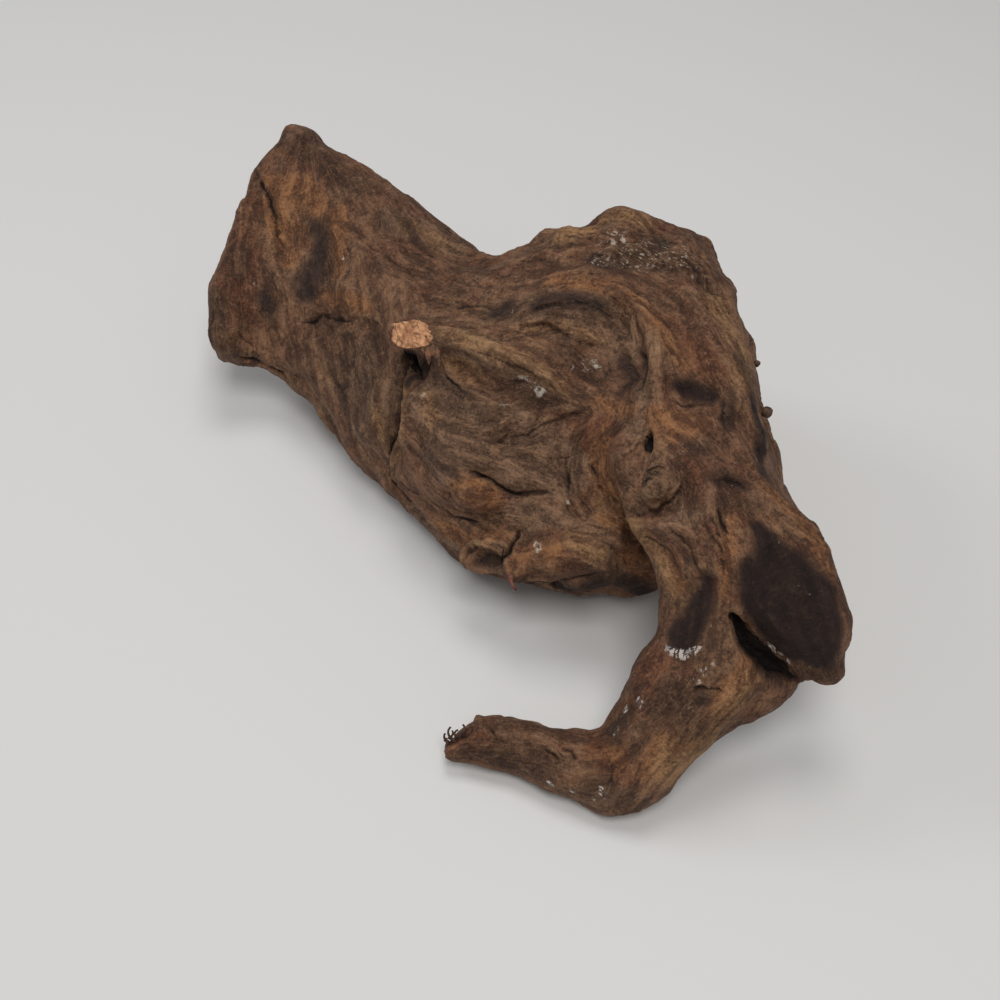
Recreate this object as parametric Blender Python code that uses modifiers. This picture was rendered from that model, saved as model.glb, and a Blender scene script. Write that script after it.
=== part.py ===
"""Aquarium driftwood: one gnarled root, washed and dried, lying on its heel, belly, rump and back root.

The wood grew as one piece, so it is one closed solid. Its limbs are lofted between ribs, fused by a
voxel remesh, and then carved with ridges, grooves, knobs and hollows. Metres, +Z up; the origin is on
the table under the middle of the wood, and +Y runs from the foot to the flared end.
"""

import math

import bmesh
import bpy
import numpy as np
from mathutils import Vector, noise
from mathutils.bvhtree import BVHTree

MM = 0.001

# Real sizes that drive the shape.
BODY_VOXEL = 3.0 * MM
SKIN_VOXEL = 2.0 * MM
NODE_TRIANGLES = 10800

# The eye that places are sighted from: 480 mm off, 50 degrees above the table, in a square frame.
FRAME_SIDE = 1000
LENS_RATIO = 50 / 36
SIGHT_ELEVATION = math.radians(50)
SIGHT_DISTANCE = 480 * MM
SIGHT_TARGET = Vector((4, -35, 40)) * MM
SIGHT_BACK = Vector((0, -math.cos(SIGHT_ELEVATION), math.sin(SIGHT_ELEVATION)))
SIGHT_UP = Vector((0, math.sin(SIGHT_ELEVATION), math.cos(SIGHT_ELEVATION)))
SIGHT_RIGHT = Vector((1, 0, 0))
EYE = SIGHT_TARGET + SIGHT_BACK * SIGHT_DISTANCE

# A sighted rib is its two edges, as (frame column, frame row, height in mm), its thickness and its camber in mm.
TRUNK_RIBS = [
    ((300, 134, 70), (246, 366, 27), 23, 2),
    ((345, 152, 71), (275, 378, 23), 32, 3),
    ((420, 204, 70), (318, 418, 18), 42, 3),
    ((484, 252, 68), (356, 468, 13), 52, 3),
    ((530, 254, 76), (404, 508, 11), 62, 4),
    ((572, 232, 86), (474, 570, 7), 70, 6),
    ((628, 218, 94), (560, 592, 6), 72, 8),
    ((680, 246, 90), (648, 594, 16), 66, 8),
    ((714, 300, 80), (696, 550, 40), 54, 6),
]
TONGUE_RIBS = [
    ((590, 300, 84), (716, 268, 82), 44, 0),
    ((600, 400, 80), (748, 368, 68), 48, 4),
    ((640, 520, 74), (752, 474, 60), 46, 4),
    ((682, 586, 66), (808, 538, 62), 36, 4),
    ((722, 622, 58), (846, 592, 57), 27, 4),
    ((768, 655, 48), (854, 640, 50), 19, 3),
    ((800, 677, 43), (848, 680, 45), 13, 1),
]
LEG_RIBS = [
    ((662, 582, 66), (750, 590, 50), 32, 0),
    ((660, 622, 54), (780, 640, 40), 30, 2),
    ((633, 662, 42), (800, 686, 31), 29, 3),
    ((614, 700, 30), (748, 713, 20), 28, 3),
    ((598, 734, 20), (706, 750, 13), 26, 3),
    ((590, 776, 11), (662, 796, 5), 23, 2),
]
RIM_RIBS = [
    ((290, 126, 71), (316, 152, 69), 15, 0),
    ((254, 178, 62), (294, 192, 61), 18, 1),
    ((230, 240, 52), (272, 252, 50), 20, 1),
    ((205, 302, 43), (252, 314, 41), 21, 1),
    ((205, 357, 32), (254, 354, 31), 22, 0),
]
BODY_LIMBS = {
    # name: (ribs, reach past the first rib, reach past the last rib), both in mm
    "trunk": (TRUNK_RIBS, 8, 12),
    "rim": (RIM_RIBS, 4, 5),
    "tongue": (TONGUE_RIBS, 12, 5),
    "leg": (LEG_RIBS, 12, 11),
}
FOOT_RIBS = [
    ((650, 706, 26), (664, 796, 6), 24, 0),
    ((606, 728, 17), (620, 818, 3), 24, 2),
    ((556, 730, 14), (560, 796, 3), 20, 2),
    ((515, 720, 14), (516, 774, 3), 16, 1),
    ((486, 716, 14), (480, 768, 4), 13, 1),
    ((452, 738, 10), (452, 762, 5), 10, 0),
]
STUB_RIBS = [
    ((396, 318, 80), (402, 342, 74), 12, 0),
    ((440, 322, 81), (432, 362, 70), 16, 1),
    ((500, 334, 80), (480, 400, 62), 22, 2),
    ((590, 360, 80), (550, 440, 58), 26, 2),
]
LOBE_RIBS = [
    ((596, 506, 56), (604, 580, 30), 30, 2),
    ((552, 528, 50), (562, 582, 28), 24, 2),
    ((506, 570, 37), (514, 582, 33), 9, 0),
]
HOOK_RIBS = [
    ((502, 532, 44), (518, 572, 30), 20, 0),
    ((484, 544, 38), (492, 573, 28), 15, 1),
    ((462, 554, 33), (468, 569, 27), 8, 0),
]
SMALL_LIMBS = {
    "foot": (FOOT_RIBS, 6, 4),
    "stub": (STUB_RIBS, 1, 8),
    "lobe": (LOBE_RIBS, 8, 2),
    "hook": (HOOK_RIBS, 6, 2),
}
# A root is its stations, each a centre in mm and a radius in mm. These hold the back and the underside.
BODY_ROOTS = {
    "keel": [((34, -40, 34), 28), ((14, -4, 30), 29), ((-14, 24, 30), 25), ((-42, 46, 36), 18), ((-66, 66, 46), 11)],
    "rump": [((40, -6, 60), 32), ((46, 24, 54), 34), ((54, 42, 34), 26), ((56, 50, 17), 19), ((56, 52, 8), 15)],
    "flank": [((84, -44, 52), 18), ((74, -14, 46), 24), ((66, 14, 34), 24), ((60, 34, 16), 15)],
}
SMALL_ROOTS = {
    "back root": [((6, 20, 44), 24), ((-12, 42, 32), 20), ((-26, 56, 20), 16), ((-34, 63, 10), 12)],
    "root under": [((20, -20, 22), 20), ((28, 10, 17), 17), ((48, 40, 14), 14), ((64, 62, 12), 9)],
}
# A lump is its centre, as (frame column, frame row, height in mm), and its three radii in mm.
BODY_LUMPS = {
    "crest": ((640, 262, 82), (30, 20, 14)),
}
SMALL_LUMPS = {
    "crest left": ((566, 246, 85), (12, 9, 9)),
    "crest top": ((622, 235, 91), (14, 9, 10)),
    "crest right": ((676, 254, 86), (13, 9, 10)),
    "edge knob": ((717, 295, 76), (7, 8, 9)),
    "flare cap": ((301, 150, 69), (10, 9, 8)),
    "crest step": ((686, 252, 84), (8, 7, 7)),
    "edge bead": ((762, 413, 66), (4, 4, 4)),
}

LIMB_SIDES = 28
LIMB_RINGS = 40
CAP_SHARE = 0.15


def sight_line(column, row):
    """The direction from the eye through a place in the frame."""
    across = (column - FRAME_SIDE / 2) / FRAME_SIDE / LENS_RATIO
    down = (row - FRAME_SIDE / 2) / FRAME_SIDE / LENS_RATIO
    return (SIGHT_RIGHT * across - SIGHT_UP * down - SIGHT_BACK).normalized()


def spot(column, row, height):
    """The point at that height, in millimetres, that the eye sees at that place in the frame."""
    line = sight_line(column, row)
    return EYE + line * ((height * MM - EYE.z) / line.z)


def sighted_rows(ribs):
    """Each rib's two edges, half thickness and camber, in metres."""
    rows = []
    for far, near, thickness, camber in ribs:
        rows.append(np.array([*spot(*far), *spot(*near), thickness * MM / 2, camber * MM]))
    return rows


def root_rows(stations):
    """The same for a root with round sections, laid out across its run."""
    rows = []
    for i, (centre, radius) in enumerate(stations):
        before = Vector(stations[max(i - 1, 0)][0])
        after = Vector(stations[min(i + 1, len(stations) - 1)][0])
        side = (after - before).cross(Vector((0, 0, 1)))
        side = side.normalized() if side.length > 4 else SIGHT_RIGHT
        middle = Vector(centre) * MM
        reach = side * radius * MM
        rows.append(np.array([*(middle + reach), *(middle - reach), radius * MM, 0]))
    return rows


def at_rib(rows, place):
    """The rib at a place from 0 to 1 along the limb, on a smooth curve through all of its ribs."""
    step = place * (len(rows) - 1)
    first = min(int(step), len(rows) - 2)
    t = step - first
    near = [rows[min(max(first + i, 0), len(rows) - 1)] for i in (-1, 0, 1, 2)]
    weights = (
        -0.5 * t**3 + t**2 - 0.5 * t,
        1.5 * t**3 - 2.5 * t**2 + 1,
        -1.5 * t**3 + 2 * t**2 + 0.5 * t,
        0.5 * t**3 - 0.5 * t**2,
    )
    return sum(w * row for w, row in zip(weights, near))


def add_limb(mesh, rows, reach_start, reach_end):
    """A ball whose rings move on to the ribs and whose poles become the limb's rounded ends."""
    made = bmesh.ops.create_uvsphere(mesh, u_segments=LIMB_SIDES, v_segments=LIMB_RINGS, radius=1)
    for vert in made["verts"]:
        turn = math.atan2(vert.co.y, vert.co.x)
        place = math.acos(max(-1, min(1, vert.co.z))) / math.pi
        inner = (place - CAP_SHARE) / (1 - 2 * CAP_SHARE)
        into_cap = max(-inner, inner - 1, 0) * (1 - 2 * CAP_SHARE) / CAP_SHARE
        along = min(max(inner, 0), 1)
        rib = at_rib(rows, along)
        step = at_rib(rows, min(along + 0.02, 1)) - at_rib(rows, max(along - 0.02, 0))
        far, near = Vector(rib[0:3]), Vector(rib[3:6])
        run = (Vector(step[0:3]) + Vector(step[3:6])).normalized()
        half = (far - near) / 2
        face = half.cross(run).normalized()
        if face.dot(SIGHT_BACK) < 0:
            face = -face
        shrink = math.cos(into_cap * math.pi / 2)
        reach = -reach_start if inner < 0 else reach_end
        push = math.sin(into_cap * math.pi / 2) * reach * MM
        across = math.cos(turn) * shrink
        out = math.sin(turn) * shrink
        bow = (1 - across**2) * rib[7] * shrink
        vert.co = (far + near) / 2 + half * across + face * (out * rib[6] + bow) + run * push


def add_lump(mesh, centre, radii):
    """One egg-shaped lump."""
    made = bmesh.ops.create_uvsphere(mesh, u_segments=24, v_segments=16, radius=1)
    middle = spot(*centre)
    for vert in made["verts"]:
        vert.co = middle + Vector([a * r * MM for a, r in zip(vert.co, radii)])


def add_parts(data, limbs, roots, lumps):
    """Puts limbs, roots and lumps into a mesh, as balls that still pass through each other."""
    mesh = bmesh.new()
    mesh.from_mesh(data)
    for ribs, reach_start, reach_end in limbs.values():
        add_limb(mesh, sighted_rows(ribs), reach_start, reach_end)
    for stations in roots.values():
        add_limb(mesh, root_rows(stations), stations[0][1] * 0.8, stations[-1][1] * 0.8)
    for centre, radii in lumps.values():
        add_lump(mesh, centre, radii)
    bmesh.ops.recalc_face_normals(mesh, faces=mesh.faces)
    mesh.to_mesh(data)
    mesh.free()


def keep_modified(obj):
    """Replaces an object's mesh by what its modifiers make of it."""
    graph = bpy.context.evaluated_depsgraph_get()
    made = bpy.data.meshes.new_from_object(obj.evaluated_get(graph))
    obj.modifiers.clear()
    obj.data = made


def fuse(obj, voxel, rounds):
    """One skin over everything, with the steps of the voxels smoothed away."""
    remesh = obj.modifiers.new("one skin", "REMESH")
    remesh.mode = "VOXEL"
    remesh.voxel_size = voxel
    smooth = obj.modifiers.new("worn round", "SMOOTH")
    smooth.factor = 0.5
    smooth.iterations = rounds
    keep_modified(obj)


# A stroke is its route over the wood, as places in the frame, its half width in mm and its height in mm.
# Grooves have a height below zero. Wide strokes come first, so that the narrow ones cut into them.
BROAD_STROKES = [
    # the flared end: a dished face between a thick cap and a rolled rim
    ([(296, 190), (308, 240), (330, 300)], 15, -4.0),
    ([(284, 142), (330, 166), (380, 194), (430, 228)], 8, 3.0),
    ([(340, 340), (372, 372), (384, 420), (372, 455)], 12, -5.0),
    ([(418, 250), (470, 280), (530, 300)], 9, -3.0),
    # the eye: a deep hollow under the crest, with a rolled rim
    ([(568, 338), (600, 345), (622, 352)], 13, -8.0),
    ([(596, 286), (632, 306), (652, 336), (655, 366), (642, 398)], 6, 5.0),
    ([(540, 300), (572, 290), (600, 286)], 6, 3.5),
    # the front panel, bellied and torn free along its left edge
    ([(440, 430), (470, 450), (500, 460)], 16, 3.0),
    ([(412, 380), (414, 410), (414, 436), (402, 470)], 7, 3.0),
    # the right limb and the tongue
    ([(700, 320), (734, 372), (752, 420)], 9, 3.0),
    ([(662, 300), (690, 340), (706, 366)], 7, -3.0),
    ([(764, 540), (790, 580), (812, 630)], 11, -3.5),
    # the leg
    ([(706, 572), (690, 606), (674, 640)], 8, -3.5),
    ([(742, 648), (722, 690), (694, 734), (664, 784)], 8, 3.0),
    ([(650, 672), (640, 710), (618, 744)], 7, 2.0),
]
MIDDLE_STROKES = [
    # the flared end
    ([(248, 172), (262, 188), (276, 216), (286, 256)], 2.6, -3.0),
    ([(300, 325), (325, 318), (355, 322), (385, 335)], 3.5, -3.0),
    ([(372, 362), (376, 392), (372, 430), (352, 444)], 3.5, 3.0),
    ([(356, 236), (402, 262), (452, 276), (500, 284)], 4, 2.5),
    ([(352, 214), (402, 236), (448, 252), (490, 266)], 3.5, -2.5),
    ([(330, 280), (380, 300), (420, 304)], 4, 2.0),
    ([(262, 262), (290, 282), (300, 304)], 4, 2.0),
    # the torn edge of the front panel and the pocket under the stub
    ([(403, 352), (400, 385), (402, 415), (392, 450), (388, 486)], 4.5, -5.5),
    ([(410, 360), (424, 374)], 6, -10.0),
    ([(436, 354), (480, 382), (520, 402), (556, 412)], 4, -5.0),
    ([(430, 330), (480, 345), (530, 368), (562, 392)], 4, 4.0),
    ([(446, 306), (500, 314), (556, 332)], 4, -3.0),
    ([(440, 290), (490, 300), (540, 318)], 4, 2.0),
    # knobs and cracks of the front panel
    ([(458, 490), (478, 500)], 7, 4.0),
    ([(480, 446), (520, 433), (560, 421), (600, 402)], 3, -3.0),
    ([(470, 420), (520, 408), (568, 398)], 4, 2.0),
    ([(455, 473), (480, 474), (500, 487), (515, 495), (555, 495)], 3, -4.0),
    ([(430, 502), (450, 516), (486, 524)], 2.8, -3.0),
    ([(425, 520), (455, 545), (500, 545)], 4, 2.0),
    ([(470, 561), (484, 562), (498, 561)], 4.5, -7.0),
    ([(526, 526), (512, 546), (502, 566)], 3, -4.0),
    ([(514, 588), (540, 590), (572, 584), (604, 580)], 3.5, -5.0),
    # the eye
    ([(640, 345), (647, 366), (642, 390)], 3, -5.0),
    ([(560, 352), (590, 366), (624, 368)], 3.5, 2.0),
    # the crest
    ([(545, 262), (590, 258), (640, 262), (690, 276)], 4, -3.5),
    ([(560, 240), (575, 232), (590, 236)], 4, 2.0),
    ([(592, 226), (600, 248)], 3.5, -3.0),
    ([(654, 226), (660, 250)], 3.5, -3.0),
    # hole, hollows and ledges of the right limb
    ([(646, 438), (648, 453)], 2.8, -6.0),
    ([(654, 380), (642, 410), (632, 440)], 3.5, -2.5),
    ([(680, 389), (712, 394)], 5.5, -4.5),
    ([(727, 408), (731, 430)], 4.5, -4.0),
    ([(744, 400), (754, 440), (764, 478)], 3.5, -3.5),
    ([(712, 480), (746, 484)], 3, -3.0),
    ([(690, 330), (724, 380), (742, 440), (772, 500)], 4, 2.0),
    # two knots side by side, ringed by creases
    ([(655, 489), (659, 492)], 7, 4.5),
    ([(622, 468), (626, 472)], 7, 3.0),
    ([(632, 506), (655, 511), (676, 497), (685, 474)], 3, -5.0),
    ([(640, 452), (640, 474), (630, 500)], 2.8, -3.0),
    ([(598, 450), (592, 480), (606, 506)], 3, -3.0),
    ([(576, 430), (566, 470), (580, 510), (602, 540)], 4, -3.0),
    ([(598, 515), (612, 542), (630, 570)], 4, -4.0),
    ([(655, 530), (690, 530), (716, 505)], 4, 2.5),
    # the tongue and the leg
    ([(778, 502), (812, 538), (838, 580)], 4, 2.5),
    ([(738, 512), (742, 560), (752, 606)], 4, 2.5),
    ([(728, 614), (750, 638), (776, 664), (806, 685)], 4.5, -7.0),
    ([(690, 694), (712, 690), (732, 676)], 3, -3.0),
    ([(770, 694), (738, 722), (704, 758)], 3.5, -3.5),
    ([(628, 722), (640, 760), (622, 790)], 4, 2.0),
    ([(600, 745), (606, 775), (596, 800)], 4, -2.5),
    ([(500, 726), (540, 738), (580, 742)], 4, 2.0),
    ([(500, 750), (540, 764), (580, 780)], 3.5, -2.0),
    ([(458, 732), (470, 731)], 3, -4.5),
]
# The same for the sides that the eye doesn't see: a route in mm through the air beside the wood, and the way in.
HIDDEN_STROKES = [
    # back: folds that run down from the crest to the table
    ([(30, 200, 92), (26, 200, 60), (34, 200, 30)], (0, -1, 0), 7, -6.0),
    ([(66, 200, 88), (72, 200, 56), (70, 200, 20)], (0, -1, 0), 6, -5.0),
    ([(48, 200, 90), (50, 200, 56), (52, 200, 24)], (0, -1, 0), 7, 4.0),
    ([(8, 200, 76), (-10, 200, 50), (-22, 200, 24)], (0, -1, 0), 6, -5.0),
    ([(-20, 200, 62), (-50, 200, 56), (-80, 200, 50)], (0, -1, 0), 6, -4.0),
    ([(-30, 200, 50), (-56, 200, 44), (-84, 200, 40)], (0, -1, 0), 5, 4.0),
    # right side
    ([(200, 30, 70), (200, -10, 62), (200, -50, 56), (200, -84, 56)], (-1, 0, 0), 6, -5.0),
    ([(200, 34, 50), (200, -8, 44), (200, -40, 42)], (-1, 0, 0), 7, 4.0),
    ([(200, 44, 34), (200, 16, 28), (200, -14, 30)], (-1, 0, 0), 6, -5.0),
    ([(200, -96, 44), (200, -112, 26), (200, -122, 12)], (-1, 0, 0), 4, -3.0),
    # left side, under the flared end and the neck
    ([(-200, 90, 44), (-200, 50, 34), (-200, 10, 22)], (1, 0, 0), 5, -4.0),
    ([(-200, 10, 34), (-200, -20, 24), (-200, -40, 16)], (1, 0, 0), 5, -3.5),
    # underside
    ([(70, -20, -50), (40, -30, -50), (0, -10, -50), (-30, 20, -50)], (0, 0, 1), 8, -6.0),
    ([(60, 20, -50), (20, 30, -50), (-20, 46, -50)], (0, 0, 1), 7, -5.0),
    ([(-40, 40, -50), (-70, 70, -50), (-90, 110, -50)], (0, 0, 1), 8, -5.0),
    ([(-56, 30, -50), (-84, 56, -50), (-100, 90, -50)], (0, 0, 1), 6, 3.5),
    ([(80, -40, -50), (88, -70, -50), (92, -96, -50)], (0, 0, 1), 6, -4.0),
    ([(60, -70, -50), (66, -96, -50), (58, -116, -50)], (0, 0, 1), 5, -3.0),
]
STROKE_STEP = 3 * MM
FLUTES = {
    # name: (direction of the grain, height in mm, length and width of a flute in mm)
    "trunk": ((0.62, -0.62, 0.2), 1.3, 60, 9),
    "bark": ((0.3, -0.3, 0.9), 1.2, 18, 7),
}


def thin_route(points):
    """A route in even short steps."""
    out = [points[0]]
    for start, end in zip(points, points[1:]):
        count = max(1, int((end - start).length / STROKE_STEP))
        out += [start.lerp(end, (i + 1) / count) for i in range(count)]
    return out


def seen_route(tree, places):
    """Where the eye meets the wood along a line of places in the frame."""
    points = []
    for (c0, r0), (c1, r1) in zip(places, places[1:]):
        count = max(1, int(math.hypot(c1 - c0, r1 - r0) / 8))
        for i in range(count + 1):
            share = i / count
            hit = tree.ray_cast(EYE, sight_line(c0 + (c1 - c0) * share, r0 + (r1 - r0) * share))[0]
            if hit is not None:
                points.append(hit)
    return thin_route(points)


def hidden_route(tree, places, way):
    """Where lines from beside the wood meet it."""
    air = thin_route([Vector(p) * MM for p in places])
    hits = [tree.ray_cast(p, Vector(way))[0] for p in air]
    return [hit for hit in hits if hit is not None]


def carve(points, normals, tree, route, half_width, height):
    """Raises or sinks the wood near a route, fading at its ends and to its sides."""
    if len(route) < 2:
        return
    path = np.array(route)
    reach = half_width * MM * 2.4
    near = np.all((points > path.min(0) - reach) & (points < path.max(0) + reach), axis=1)
    where = np.nonzero(near)[0]
    if len(where) == 0:
        return
    gap = np.linalg.norm(points[where][:, None, :] - path[None, :, :], axis=2)
    closest = gap.argmin(1)
    distance = gap[np.arange(len(where)), closest]
    place = closest / (len(path) - 1)
    ends = np.clip(np.minimum(place, 1 - place) * 5 + 0.35, 0, 1)
    facing = np.array([tree.find_nearest(Vector(p))[1] for p in path])
    same_side = np.clip((normals[where] * facing[closest]).sum(1) * 2, 0, 1)
    amount = np.exp(-((distance / (half_width * MM)) ** 2)) * ends * same_side
    points[where] += normals[where] * (amount * height * MM)[:, None]


def mesh_arrays(data):
    """The points and the vertex normals of a mesh."""
    count = len(data.vertices)
    points = np.empty(count * 3)
    normals = np.empty(count * 3)
    data.vertices.foreach_get("co", points)
    data.vertex_normals.foreach_get("vector", normals)
    return points.reshape(-1, 3), normals.reshape(-1, 3)


def carve_strokes(obj, seen, hidden):
    """Carves one list of strokes into the wood."""
    tree = BVHTree.FromObject(obj, bpy.context.evaluated_depsgraph_get())
    points, normals = mesh_arrays(obj.data)
    for places, half_width, height in seen:
        carve(points, normals, tree, seen_route(tree, places), half_width, height)
    for places, way, half_width, height in hidden:
        carve(points, normals, tree, hidden_route(tree, places, way), half_width, height)
    obj.data.vertices.foreach_set("co", points.ravel())
    obj.data.update()


def flute(obj, grain, height, length, width):
    """Long shallow ridges that follow the grain."""
    along = Vector(grain).normalized()
    points, normals = mesh_arrays(obj.data)
    for i, co in enumerate(points):
        spot_now = Vector(co)
        run = spot_now.dot(along)
        place = spot_now / (width * MM) + along * run * (1 / (length * MM) - 1 / (width * MM))
        points[i] += normals[i] * (noise.noise(place) * height * MM)
    obj.data.vertices.foreach_set("co", points.ravel())
    obj.data.update()


def rest_flat(obj):
    """Planes the lowest spots flat at the table's height, as handling has worn them."""
    points, _ = mesh_arrays(obj.data)
    points[:, 2] = np.maximum(points[:, 2], 0)
    obj.data.vertices.foreach_set("co", points.ravel())
    obj.data.update()


def thin_out(obj, triangles):
    """Fewer, unlike triangles: small where the wood bends and large where it is even."""
    obj.data.calc_loop_triangles()
    decimate = obj.modifiers.new("fewer faces", "DECIMATE")
    decimate.ratio = triangles / len(obj.data.loop_triangles)
    decimate.use_collapse_triangulate = True
    keep_modified(obj)


def centre_on_table(obj):
    """Moves the origin under the middle of the wood, and trues the planed spots."""
    points, _ = mesh_arrays(obj.data)
    middle = (points.max(0) + points.min(0)) / 2
    points[:, 0] -= middle[0]
    points[:, 1] -= middle[1]
    points[points[:, 2] < 0.15 * MM, 2] = 0
    obj.data.vertices.foreach_set("co", points.ravel())
    obj.data.update()


def wood_material():
    """Dry brown wood, a little glossy where water has worn it."""
    material = bpy.data.materials.new("driftwood_brown")
    material.use_nodes = True
    shader = material.node_tree.nodes["Principled BSDF"]
    shader.inputs["Base Color"].default_value = (0.16, 0.088, 0.045, 1)
    shader.inputs["Roughness"].default_value = 0.7
    shader.inputs["Metallic"].default_value = 0
    return material


for old in list(bpy.data.objects):
    bpy.data.objects.remove(old)

wood = bpy.data.objects.new("driftwood", bpy.data.meshes.new("driftwood"))
collection = bpy.data.collections.new("aquarium driftwood")
bpy.context.scene.collection.children.link(collection)
collection.objects.link(wood)
add_parts(wood.data, BODY_LIMBS, BODY_ROOTS, BODY_LUMPS)
fuse(wood, BODY_VOXEL, 12)
add_parts(wood.data, SMALL_LIMBS, SMALL_ROOTS, SMALL_LUMPS)
fuse(wood, SKIN_VOXEL, 5)
carve_strokes(wood, BROAD_STROKES, [])
carve_strokes(wood, MIDDLE_STROKES, HIDDEN_STROKES)
for grain, height, length, width in FLUTES.values():
    flute(wood, grain, height, length, width)
fuse(wood, SKIN_VOXEL, 1)
rest_flat(wood)
thin_out(wood, NODE_TRIANGLES)
centre_on_table(wood)
wood.data.name = "driftwood"
wood.data.materials.clear()
wood.data.materials.append(wood_material())
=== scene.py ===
import math

import bmesh
import bpy
import numpy as np
from mathutils import Matrix, Vector, noise
from mathutils.bvhtree import BVHTree
from mathutils.kdtree import KDTree


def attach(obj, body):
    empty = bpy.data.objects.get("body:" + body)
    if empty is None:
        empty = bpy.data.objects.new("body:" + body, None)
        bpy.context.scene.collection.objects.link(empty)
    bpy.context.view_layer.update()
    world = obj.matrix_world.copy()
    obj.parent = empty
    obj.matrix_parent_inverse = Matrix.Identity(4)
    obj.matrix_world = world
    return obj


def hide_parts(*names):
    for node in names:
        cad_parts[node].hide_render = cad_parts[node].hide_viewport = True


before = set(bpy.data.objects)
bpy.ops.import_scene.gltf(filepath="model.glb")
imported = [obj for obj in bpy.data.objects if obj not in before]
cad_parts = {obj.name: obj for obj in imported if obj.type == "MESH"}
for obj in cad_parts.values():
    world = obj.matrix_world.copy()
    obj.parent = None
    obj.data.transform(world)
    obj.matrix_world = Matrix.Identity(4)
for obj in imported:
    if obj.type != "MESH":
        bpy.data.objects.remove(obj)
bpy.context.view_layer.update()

# Camera: a 50 mm lens, 480 mm from the wood and 50 degrees above the table. The wood's marks are placed by
# where this camera sees them, in a square picture 1000 wide, so the camera comes first.
MM = 0.001
LENS = 50
SENSOR = 36
HEIGHT_ANGLE = math.radians(50)
VIEW_POINT = Vector((2.46, -34.76, 40.0)) * MM
VIEW_BACK = Vector((0, -math.cos(HEIGHT_ANGLE), math.sin(HEIGHT_ANGLE)))
VIEW_UP = Vector((0, VIEW_BACK.z, -VIEW_BACK.y))
EYE = VIEW_POINT + VIEW_BACK * 480 * MM
MIDDLE = 500
LENS_PIXELS = round(2 * MIDDLE * LENS / SENSOR)
camera_data = bpy.data.cameras.new("camera")
camera_data.lens = LENS
camera_data.sensor_width = SENSOR
camera_data.clip_start = 0.01
camera = bpy.data.objects.new("camera", camera_data)
camera.location = EYE
camera.rotation_euler = (-VIEW_BACK).to_track_quat("-Z", "Y").to_euler()
bpy.context.scene.collection.objects.link(camera)
bpy.context.scene.camera = camera


def sight(column, row):
    """The direction in which the camera sees a place of its picture."""
    across = Vector(((column - MIDDLE) / LENS_PIXELS, 0, 0))
    return (across - VIEW_UP * (row - MIDDLE) / LENS_PIXELS - VIEW_BACK).normalized()


# The root: one grown piece of wood, whose soft parts water has worn away between the hard fibres. It has
# the CAD's shape under an even, fine skin, with the relief of fibres, cracks, knots and pits added as real
# geometry.
SKIN_VOXEL = 0.85 * MM
SMOOTHINGS = 6
MOST_TRIANGLES = 194000


def mesh_points(mesh):
    """The points and normals of a mesh, in mm."""
    points = np.empty(len(mesh.vertices) * 3)
    normals = np.empty(len(mesh.vertices) * 3)
    mesh.vertices.foreach_get("co", points)
    mesh.vertex_normals.foreach_get("vector", normals)
    return points.reshape(-1, 3) * 1000, normals.reshape(-1, 3)


def keep_modified(obj):
    """Makes the modifiers' result the object's own mesh."""
    made = bpy.data.meshes.new_from_object(obj.evaluated_get(bpy.context.evaluated_depsgraph_get()))
    obj.modifiers.clear()
    obj.data = made


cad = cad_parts["driftwood"]
root = bpy.data.objects.new("driftwood_root", cad.data.copy())
bpy.context.scene.collection.objects.link(root)
shell = bmesh.new()
shell.from_mesh(root.data)
bmesh.ops.remove_doubles(shell, verts=shell.verts, dist=0.02 * MM)
shell.to_mesh(root.data)
shell.free()
remesh = root.modifiers.new("skin", "REMESH")
remesh.mode = "VOXEL"
remesh.voxel_size = SKIN_VOXEL
smooth = root.modifiers.new("soft", "SMOOTH")
smooth.factor = 0.5
smooth.iterations = SMOOTHINGS
keep_modified(root)
sight_tree = BVHTree.FromObject(root, bpy.context.evaluated_depsgraph_get())


def seen(column, row):
    """The point of the wood, in mm, that the camera sees at a place, or None beside the wood."""
    hit = sight_tree.ray_cast(EYE, sight(column, row))[0]
    return None if hit is None else np.array(hit) * 1000


def seen_path(places, step=2.0):
    """Points every few pixels along a line of places on the wood."""
    path = []
    for (c0, r0), (c1, r1) in zip(places, places[1:]):
        count = max(1, round(math.hypot(c1 - c0, r1 - r0) / step))
        for i in range(count + 1):
            point = seen(c0 + (c1 - c0) * i / count, r0 + (r1 - r0) * i / count)
            if point is not None:
                path.append(point)
    return np.array(path)


def soft_step(low, high, value):
    """0 below low, 1 above high, smooth between."""
    t = np.clip((value - low) / (high - low), 0, 1)
    return t * t * (3 - 2 * t)


def noise3(points, seed, repeat=32):
    """Smooth noise from -1 to 1, between random values a unit apart; it repeats after a power of two."""
    lattice = np.random.default_rng(seed).uniform(-1, 1, (repeat, repeat, repeat)).astype(np.float32)
    floor = np.floor(points)
    part = (points - floor).astype(np.float32)
    part = part * part * (3 - 2 * part)
    low = floor.astype(np.int32) & (repeat - 1)
    high = (low + 1) & (repeat - 1)
    total = 0
    for corner in range(8):
        x, y, z = [(high if corner >> axis & 1 else low)[:, axis] for axis in range(3)]
        weight = [part[:, axis] if corner >> axis & 1 else 1 - part[:, axis] for axis in range(3)]
        total = total + lattice[x, y, z] * weight[0] * weight[1] * weight[2]
    return total


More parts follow.
